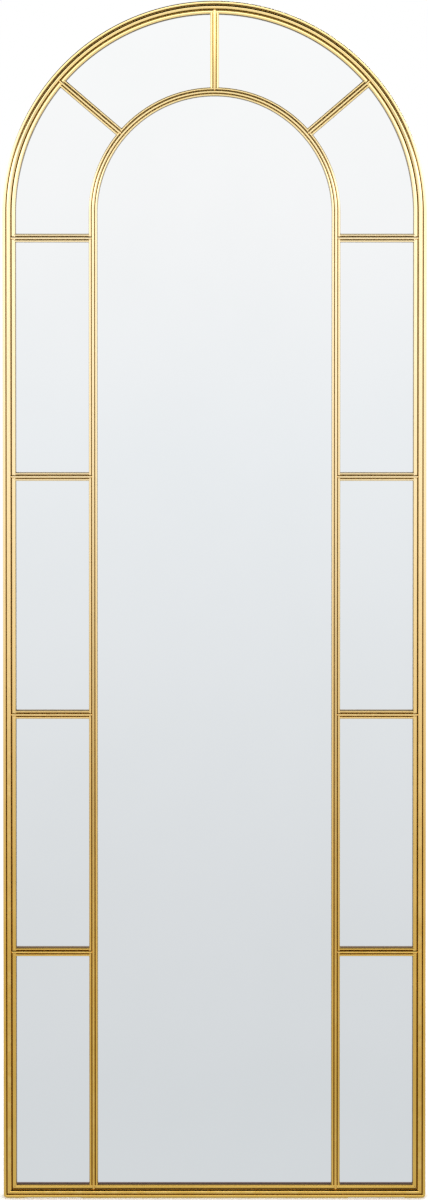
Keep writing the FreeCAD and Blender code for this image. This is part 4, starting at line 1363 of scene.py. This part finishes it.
@dataclass(frozen=True)
class PanScrew:
    """A pan-head screw along Y: its head's seat at y = 0 and its tip towards -Y."""

    diameter: float = 0.0028
    core_diameter: float = 0.0021
    pitch: float = 0.0011
    length: float = 0.0095
    plain_length: float = 0.0008
    tip_length: float = 0.002
    tip_diameter: float = 0.0008
    head_diameter: float = 0.0056
    head_height: float = 0.0021
    head_rim: float = 0.0006
    head_flat: float = 0.0034
    rim_round: float = 0.00015
    recess_width: float = 0.0008
    recess_length: float = 0.003
    recess_depth: float = 0.0012
    recess_taper: float = 0.75
    sides: int = 28
    rows_per_turn: int = 8
    crown_steps: int = 7

    def profile(self) -> list[tuple[float, float]]:
        """Return radius and Y of each ring, from the tip to the middle of the head."""
        shank, head, flat = self.diameter / 2, self.head_diameter / 2, self.head_flat / 2
        rows = [(0.0, -self.length), (self.tip_diameter / 2, -self.length)]
        turned = self.length - self.plain_length
        count = math.ceil(turned / self.pitch * self.rows_per_turn)
        for number in range(1, count + 1):
            done = turned * number / count
            share = min(done / self.tip_length, 1.0)
            rows.append((self.tip_diameter / 2 + (shank - self.tip_diameter / 2) * share,
                         done - self.length))
        rows += [(shank, -self.plain_length / 2), (shank, 0.0), (head - self.rim_round, 0.0),
                 (head, self.rim_round)]
        for step in range(self.crown_steps + 1):
            angle = math.pi / 2 * step / self.crown_steps
            rows.append((flat + (head - flat) * math.cos(angle),
                         self.head_rim + (self.head_height - self.head_rim) * math.sin(angle)))
        return rows + [(0.0, self.head_height)]

    def thread(self, radius: float, y: float, angle: float) -> float:
        """Return the radius of the thread at a height and an angle."""
        if y > -self.plain_length or radius > self.diameter / 2:
            return radius
        turn = (y / self.pitch - angle / math.tau) % 1.0
        ridge = max(0.0, 1.0 - abs(turn - 0.5) * 4.0)
        core = radius * self.core_diameter / self.diameter
        return core + (radius - core) * ridge

    def recess(self) -> bpy.types.Object:
        """Return the cross-shaped block that cuts the driver's recess."""
        top, bottom = self.head_height + self.rim_round, self.head_height - self.recess_depth
        wide, long = self.recess_width / 2, self.recess_length / 2
        cross = [(long, -wide), (long, wide), (wide, wide), (wide, long), (-wide, long),
                 (-wide, wide), (-long, wide), (-long, -wide), (-wide, -wide), (-wide, -long),
                 (wide, -long), (wide, -wide)]
        count = len(cross)
        points = [(x, top, z) for x, z in cross]
        points += [(x * self.recess_taper, bottom, z * self.recess_taper) for x, z in cross]
        faces = [tuple(range(count)), tuple(range(2 * count - 1, count - 1, -1))]
        faces += [(number, number + count, (number + 1) % count + count, (number + 1) % count)
                  for number in range(count)]
        mesh = mesh_of("screw_recess", points, faces=faces)
        tidy_normals(mesh, smooth=False)
        return add_object("screw_recess", mesh)

    def build(self) -> bpy.types.Object:
        """Return one screw."""
        mesh = lathe("pan_screw", self.profile(), self.sides, self.thread)
        screw, cutter = add_object("pan_screw", mesh), self.recess()
        modifier = screw.modifiers.new("recess", "BOOLEAN")
        modifier.operation, modifier.solver, modifier.object = "DIFFERENCE", "EXACT", cutter
        graph = bpy.context.evaluated_depsgraph_get()
        done = bpy.data.meshes.new_from_object(screw.evaluated_get(graph))
        screw.modifiers.clear()
        screw.data = done
        bpy.data.objects.remove(cutter)
        return screw


@dataclass(frozen=True)
class BlindRivet:
    """A blind rivet along Y: its head's seat at y = 0 and its spread tail towards -Y."""

    diameter: float = 0.004
    grip: float = 0.0054
    head_diameter: float = 0.006
    head_height: float = 0.0016
    head_flat: float = 0.0016
    tail_diameter: float = 0.0056
    tail_height: float = 0.0018
    stem_diameter: float = 0.0011
    stem_sink: float = 0.0004
    stem_edge: float = 0.3
    sides: int = 28
    crown_steps: int = 6

    def build(self) -> bpy.types.Object:
        """Return one rivet, with the broken stem sunk in its head."""
        shank, head, flat = self.diameter / 2, self.head_diameter / 2, self.head_flat / 2
        stem, end = self.stem_diameter / 2, -self.grip - self.tail_height
        rows = [(0.0, end), (shank, end), (self.tail_diameter / 2, -self.grip),
                (shank, -self.grip), (shank, 0.0), (head, 0.0)]
        for step in range(1, self.crown_steps + 1):
            angle = math.pi / 2 * step / self.crown_steps
            rows.append((flat + (head - flat) * math.cos(angle),
                         self.head_height * math.sin(angle)))
        rows += [(stem, self.head_height - self.stem_sink * self.stem_edge),
                 (stem, self.head_height - self.stem_sink),
                 (0.0, self.head_height - self.stem_sink)]
        return add_object("blind_rivet", lathe("blind_rivet", rows, self.sides))


@dataclass
class Fixings:
    """Clips, their screws, the bumpers' screws and the hangers' rivets."""

    finishes: FinishSet
    screw: PanScrew = PanScrew()
    rivet: BlindRivet = BlindRivet()
    clips: int = 11
    clip_heights: tuple[float, ...] = (0.250, 0.700, 1.150)
    arch_angles: tuple[float, ...] = (-50.0, 0.0, 50.0)
    bottom_clip_x: float = 0.1445
    bumper_angle: float = 20.0
    eye_x: float = 0.274
    rivet_heights: tuple[float, ...] = (1.3085, 1.323)
    sharp_edge: float = 38.0

    @property
    def tube_centre(self) -> float:
        """The tube's middle, from the centre of the arch."""
        return SIZES.half_width - SIZES.tube_width / 2

    def on_arch(self, degrees: float) -> tuple[float, float]:
        """Return X and Z of a spot on the arch's tube, at an angle from the crown."""
        angle = math.radians(degrees)
        return (self.tube_centre * math.sin(angle),
                SIZES.arch_z + self.tube_centre * math.cos(angle))

    def clip_spots(self) -> list[tuple[float, float]]:
        """Return X and Z of each clip's screw."""
        spots = [(side.sign * self.tube_centre, height)
                 for height in self.clip_heights for side in Side]
        spots += [self.on_arch(degrees) for degrees in self.arch_angles]
        bottom = SIZES.bottom_z + SIZES.tube_width / 2
        return spots + [(side.sign * self.bottom_clip_x, bottom) for side in Side]

    def bumper_spots(self) -> list[tuple[float, float]]:
        """Return X and Z of each bumper's screw."""
        return [self.on_arch(side.sign * self.bumper_angle) for side in Side]

    def rivet_spots(self) -> list[tuple[float, float]]:
        """Return X and Z of each rivet."""
        return [(side.sign * self.eye_x, height) for side in Side for height in self.rivet_heights]

    def set_row(self, name: str, node: str, spots: list[tuple[float, float]],
                fastener: bpy.types.Object, head_height: float,
                material: bpy.types.Material, seed: int) -> None:
        """Set a fastener at each spot, its head seated as high as its node's is.

        Args:
            name: the new piece's name.
            node: the node that it replaces.
            spots: X and Z of each.
            fastener: the fastener, its head's seat at y = 0.
            head_height: how far the head stands behind its seat.
            material: the metal.
            seed: the seed of the turns.
        """
        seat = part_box(node)[1].y - head_height
        piece = add_object(name, mesh_of(name, [(x, seat, z) for x, z in spots]))
        self.recipe.apply(piece, {"Material": material, "Fastener": fastener, "Seed": seed,
                                  "Most Turn": math.tau})
        shade_by_angle(piece, self.sharp_edge)
        settle(piece, Body.FRAME, (node,))

    def build(self) -> None:
        """Dress the clips and set the screws and rivets."""
        dress(tuple(f"retaining_clip_{number + 1}" for number in range(self.clips)),
              self.finishes.zinc.material())
        self.recipe = fastener_recipe()
        screw, rivet = self.screw.build(), self.rivet.build()
        steel = self.finishes.screw_zinc.material()
        self.set_row("zinc_clip_screws", "clip_screws", self.clip_spots(),
                     screw, self.screw.head_height, steel, seed=3)
        self.set_row("zinc_bumper_screws", "bumper_screws", self.bumper_spots(),
                     screw, self.screw.head_height, steel, seed=8)
        self.set_row("blind_hanger_rivets", "hanger_rivets",
                     self.rivet_spots(), rivet, self.rivet.head_height,
                     self.finishes.aluminium.material(), seed=5)
        for template in (screw, rivet):
            bpy.data.objects.remove(template)


@dataclass
class Hangers:
    """Straps and swinging rings at both sides of the back."""

    finishes: FinishSet

    def build(self) -> None:
        """Dress the straps and rings."""
        names = [f"{side.word}_hanger_{part}" for side in Side for part in ("strap", "ring")]
        dress(tuple(names), self.finishes.nickel.material())


@dataclass
class Rubbers:
    """Wall bumpers and foot pads."""

    finishes: FinishSet

    def build(self) -> None:
        """Dress the bumpers and pads."""
        dress(("left_wall_bumper", "right_wall_bumper"), self.finishes.grey_rubber.material())
        dress(("left_foot_pad", "right_foot_pad"), self.finishes.pale_rubber.material())


# ------------------------------------------------------------------ studio


@dataclass(frozen=True)
class AreaLamp:
    """A soft box: where it stands, what it looks at, its size and power."""

    name: str
    place: Point
    target: Point
    size: tuple[float, float]
    power: float
    spread: float = 180.0
    glossy: bool = True

    def build(self) -> None:
        """Put the lamp in the scene."""
        lamp = bpy.data.lights.new(self.name, "AREA")
        lamp.shape = "RECTANGLE"
        lamp.size, lamp.size_y = self.size
        lamp.energy = self.power
        lamp.spread = math.radians(self.spread)
        holder = bpy.data.objects.new(self.name, lamp)
        holder.location = self.place
        holder.visible_glossy = self.glossy
        towards = Vector(self.target) - Vector(self.place)
        holder.rotation_euler = towards.to_track_quat("-Z", "Y").to_euler()
        bpy.context.scene.collection.objects.link(holder)


@dataclass(frozen=True)
class Studio:
    """Plain white studio with a camera at the photograph's viewpoint.

    Attributes:
        camera_height: the camera's height above the floor.
        camera_distance: its distance in front of the mirror.
        tilt_degrees: how far it looks down.
        seen_height: the height that its longer side sees at the mirror.
        shift: how far the picture is shifted, as a share of its longer side.
        sensor: the sensor's longer side, in millimetres.
        floor_size: the side of the floor's square.
        floor_near: within this distance the floor shows its paint and the shadow.
        floor_far: beyond this distance the floor is plain white.
        near_glow: within this distance reflections see the floor's own glow.
        far_glow: beyond this distance reflections see the surroundings through the floor.
        floor_paint: the floor's colour near the mirror.
        floor_glow: the floor's glow in reflections.
        front_until: the direction's Y up to which metal sees only the front gradient.
        rear_from: the direction's Y from which metal sees only the rear gradient.
        mirrored: what the mirror reflects, by the direction's Z.
        glossed: what metal reflects from in front of the mirror, by the direction's Z.
        behind: what metal reflects from behind the mirror, by the direction's Z.
        lamps: the soft boxes.
    """

    camera_height: float = 1.20
    camera_distance: float = 4.30
    tilt_degrees: float = 1.033
    seen_height: float = 1.7049
    shift: tuple[float, float] = (-0.00046, -0.1589)
    sensor: float = 36.0
    floor_size: float = 30.0
    floor_near: float = 0.9
    floor_far: float = 2.6
    near_glow: float = 0.35
    far_glow: float = 1.2
    floor_paint: Colour = (0.94, 0.94, 0.94)
    floor_glow: Colour = (0.69, 0.715, 0.735)
    front_until: float = -0.2
    rear_from: float = 0.4
    mirrored: Stops = (
        (-1.0, (0.60, 0.61, 0.62)),
        (-0.25, (0.695, 0.718, 0.738)),
        (-0.18, (0.73, 0.75, 0.77)),
        (-0.03, (0.87, 0.89, 0.91)),
        (0.05, (0.965, 0.965, 0.97)),
        (0.11, WHITE),
        (1.0, WHITE),
    )
    glossed: Stops = (
        (-1.0, (1.25, 1.25, 1.24)),
        (-0.5, (1.30, 1.30, 1.29)),
        (-0.32, (0.72, 0.72, 0.71)),
        (-0.25, (0.62, 0.62, 0.62)),
        (-0.18, (0.74, 0.74, 0.74)),
        (-0.10, (1.00, 1.00, 1.00)),
        (-0.03, (1.18, 1.18, 1.18)),
        (0.05, (1.28, 1.28, 1.28)),
        (0.14, (2.40, 2.40, 2.40)),
        (0.28, (2.40, 2.40, 2.40)),
        (0.37, (0.08, 0.07, 0.06)),
        (0.44, (0.010, 0.008, 0.006)),
        (1.0, (0.005, 0.004, 0.003)),
    )
    behind: Stops = (
        (-1.0, WHITE),
        (0.30, (1.05, 1.05, 1.05)),
        (0.48, (0.12, 0.11, 0.10)),
        (1.0, (0.01, 0.01, 0.01)),
    )
    lamps: tuple[AreaLamp, ...] = (
        AreaLamp("overhead_lamp", (0.0, -1.15, 2.0), (0.0, -1.15, 0.0), (2.0, 1.3),
                 power=6.0, spread=90.0, glossy=False),
        AreaLamp("left_lamp", (-1.1, -2.2, 1.7), (0.0, 0.0, 1.5), (0.4, 1.2),
                 power=11.0, glossy=False),
        AreaLamp("right_lamp", (1.1, -2.2, 1.7), (0.0, 0.0, 1.5), (0.4, 1.2),
                 power=9.0, glossy=False),
        AreaLamp("back_lamp", (0.8, 3.0, 2.6), (0.0, 0.0, 0.9), (1.6, 1.6),
                 power=50.0),
    )

    def build_camera(self) -> None:
        """Put the camera above the mirror's middle and frame the mirror by a small shift."""
        camera = bpy.data.cameras.new("camera")
        camera.sensor_width = self.sensor
        camera.lens = self.sensor * self.camera_distance / self.seen_height
        camera.shift_x, camera.shift_y = self.shift
        holder = bpy.data.objects.new("camera", camera)
        holder.location = (0.0, -self.camera_distance, self.camera_height)
        holder.rotation_euler = (math.radians(90.0 - self.tilt_degrees), 0.0, 0.0)
        bpy.context.scene.collection.objects.link(holder)
        bpy.context.scene.camera = holder

    def build_floor(self) -> None:
        """Lay the floor: pale and shadowed near the mirror, plain white further off."""
        half = self.floor_size / 2
        corners = [(-half, -half, 0), (half, -half, 0), (half, half, 0), (-half, half, 0)]
        floor = add_object("floor", mesh_of("floor", corners, faces=[(0, 1, 2, 3)]))
        shader = Shader("white_floor")
        centre = shader.node("ShaderNodeTexCoord").outputs["Object"]
        away = shader.node("ShaderNodeVectorMath", {0: centre}, operation="LENGTH").outputs[1]
        paint = shader.node("ShaderNodeBsdfDiffuse", {"Color": self.floor_paint})
        white = shader.node("ShaderNodeEmission", {"Color": WHITE, "Strength": 1.0})
        grey = shader.node("ShaderNodeEmission", {"Color": self.floor_glow, "Strength": 1.0})
        clear = shader.node("ShaderNodeBsdfTransparent")
        ray = shader.node("ShaderNodeLightPath")
        seen = shader.math("MULTIPLY", ray.outputs["Is Camera Ray"],
                           shader.remap(away, self.floor_near, self.floor_far))
        bounced = shader.math("ADD", ray.outputs["Is Glossy Ray"],
                              ray.outputs["Is Transmission Ray"])
        direct = shader.node("ShaderNodeMixShader", {0: seen, 1: paint.outputs[0],
                                                     2: white.outputs[0]})
        glow = shader.node("ShaderNodeMixShader", {
            0: shader.remap(away, self.near_glow, self.far_glow),
            1: grey.outputs[0], 2: clear.outputs[0]})
        both = shader.node("ShaderNodeMixShader", {0: bounced, 1: direct.outputs[0],
                                                   2: glow.outputs[0]})
        shader.feed(shader.output.inputs[0], both.outputs[0])
        floor.data.materials.append(shader.material)

    def gradient(self, wiring: Wiring, stops: Stops) -> bpy.types.NodeSocket:
        """Return a background whose colour depends on the height of the direction.

        Args:
            wiring: the world's node tree.
            stops: pairs of the direction's Z, from -1 to 1, and its colour.

        Returns:
            The background's shader socket.
        """
        place = wiring.node("ShaderNodeTexCoord").outputs["Generated"]
        split = wiring.node("ShaderNodeSeparateXYZ", {0: place})
        height = wiring.node("ShaderNodeMapRange", {"Value": split.outputs["Z"],
                                                    "From Min": -1.0})
        ramp = wiring.node("ShaderNodeValToRGB", {0: height.outputs[0]})
        elements = ramp.color_ramp.elements
        for element, stop in zip(elements, (stops[0], stops[-1])):
            element.color = (*stop[1], 1.0)
        for level, colour in stops[1:-1]:
            elements.new((level + 1.0) / 2.0).color = (*colour, 1.0)
        return wiring.node("ShaderNodeBackground", {"Color": ramp.outputs[0]}).outputs[0]

    def build_world(self) -> None:
        """Surround the mirror: white to the camera, soft gradients to the mirror and metal.

        The mirror's own reflections are singular rays. The metal's are rough, and they see one
        gradient in front of the mirror and another one behind it.
        """
        world = bpy.data.worlds.new("studio")
        world.use_nodes = True
        wiring = Wiring(world.node_tree)
        wiring.tree.nodes.clear()
        ray = wiring.node("ShaderNodeLightPath").outputs
        bounced = wiring.node("ShaderNodeMath", {0: ray["Is Glossy Ray"],
                                                 1: ray["Is Transmission Ray"]}, use_clamp=True)
        place = wiring.node("ShaderNodeTexCoord").outputs["Generated"]
        split = wiring.node("ShaderNodeSeparateXYZ", {0: place})
        rear = wiring.node("ShaderNodeMapRange", {
            "Value": split.outputs["Y"], "From Min": self.front_until,
            "From Max": self.rear_from})
        around = wiring.node("ShaderNodeMixShader", {
            0: rear.outputs[0], 1: self.gradient(wiring, self.glossed),
            2: self.gradient(wiring, self.behind)})
        shown = wiring.node("ShaderNodeMixShader", {
            0: ray["Is Singular Ray"], 1: around.outputs[0],
            2: self.gradient(wiring, self.mirrored)})
        white = wiring.node("ShaderNodeBackground", {"Color": WHITE})
        both = wiring.node("ShaderNodeMixShader", {0: bounced.outputs[0], 1: white.outputs[0],
                                                   2: shown.outputs[0]})
        wiring.node("ShaderNodeOutputWorld", {0: both.outputs[0]})
        bpy.context.scene.world = world

    def build(self) -> None:
        """Build camera, lamps, floor and surroundings."""
        self.build_camera()
        for lamp in self.lamps:
            lamp.build()
        self.build_floor()
        self.build_world()
        bpy.context.scene.view_settings.view_transform = "Standard"


# ------------------------------------------------------------------ the whole mirror


def main() -> None:
    """Build the studio and every sub-assembly in order."""
    logging.basicConfig(level=logging.INFO, format="%(name)s: %(message)s")
    Studio().build()
    finishes = FinishSet()
    welds = weld_recipe()
    WeldedFront(finishes).build(welds)
    TubeFrame(finishes).build(welds)
    GlassPack(finishes).build()
    Fixings(finishes).build()
    Hangers(finishes).build()
    Rubbers(finishes).build()


if __name__ == "__main__":
    main()
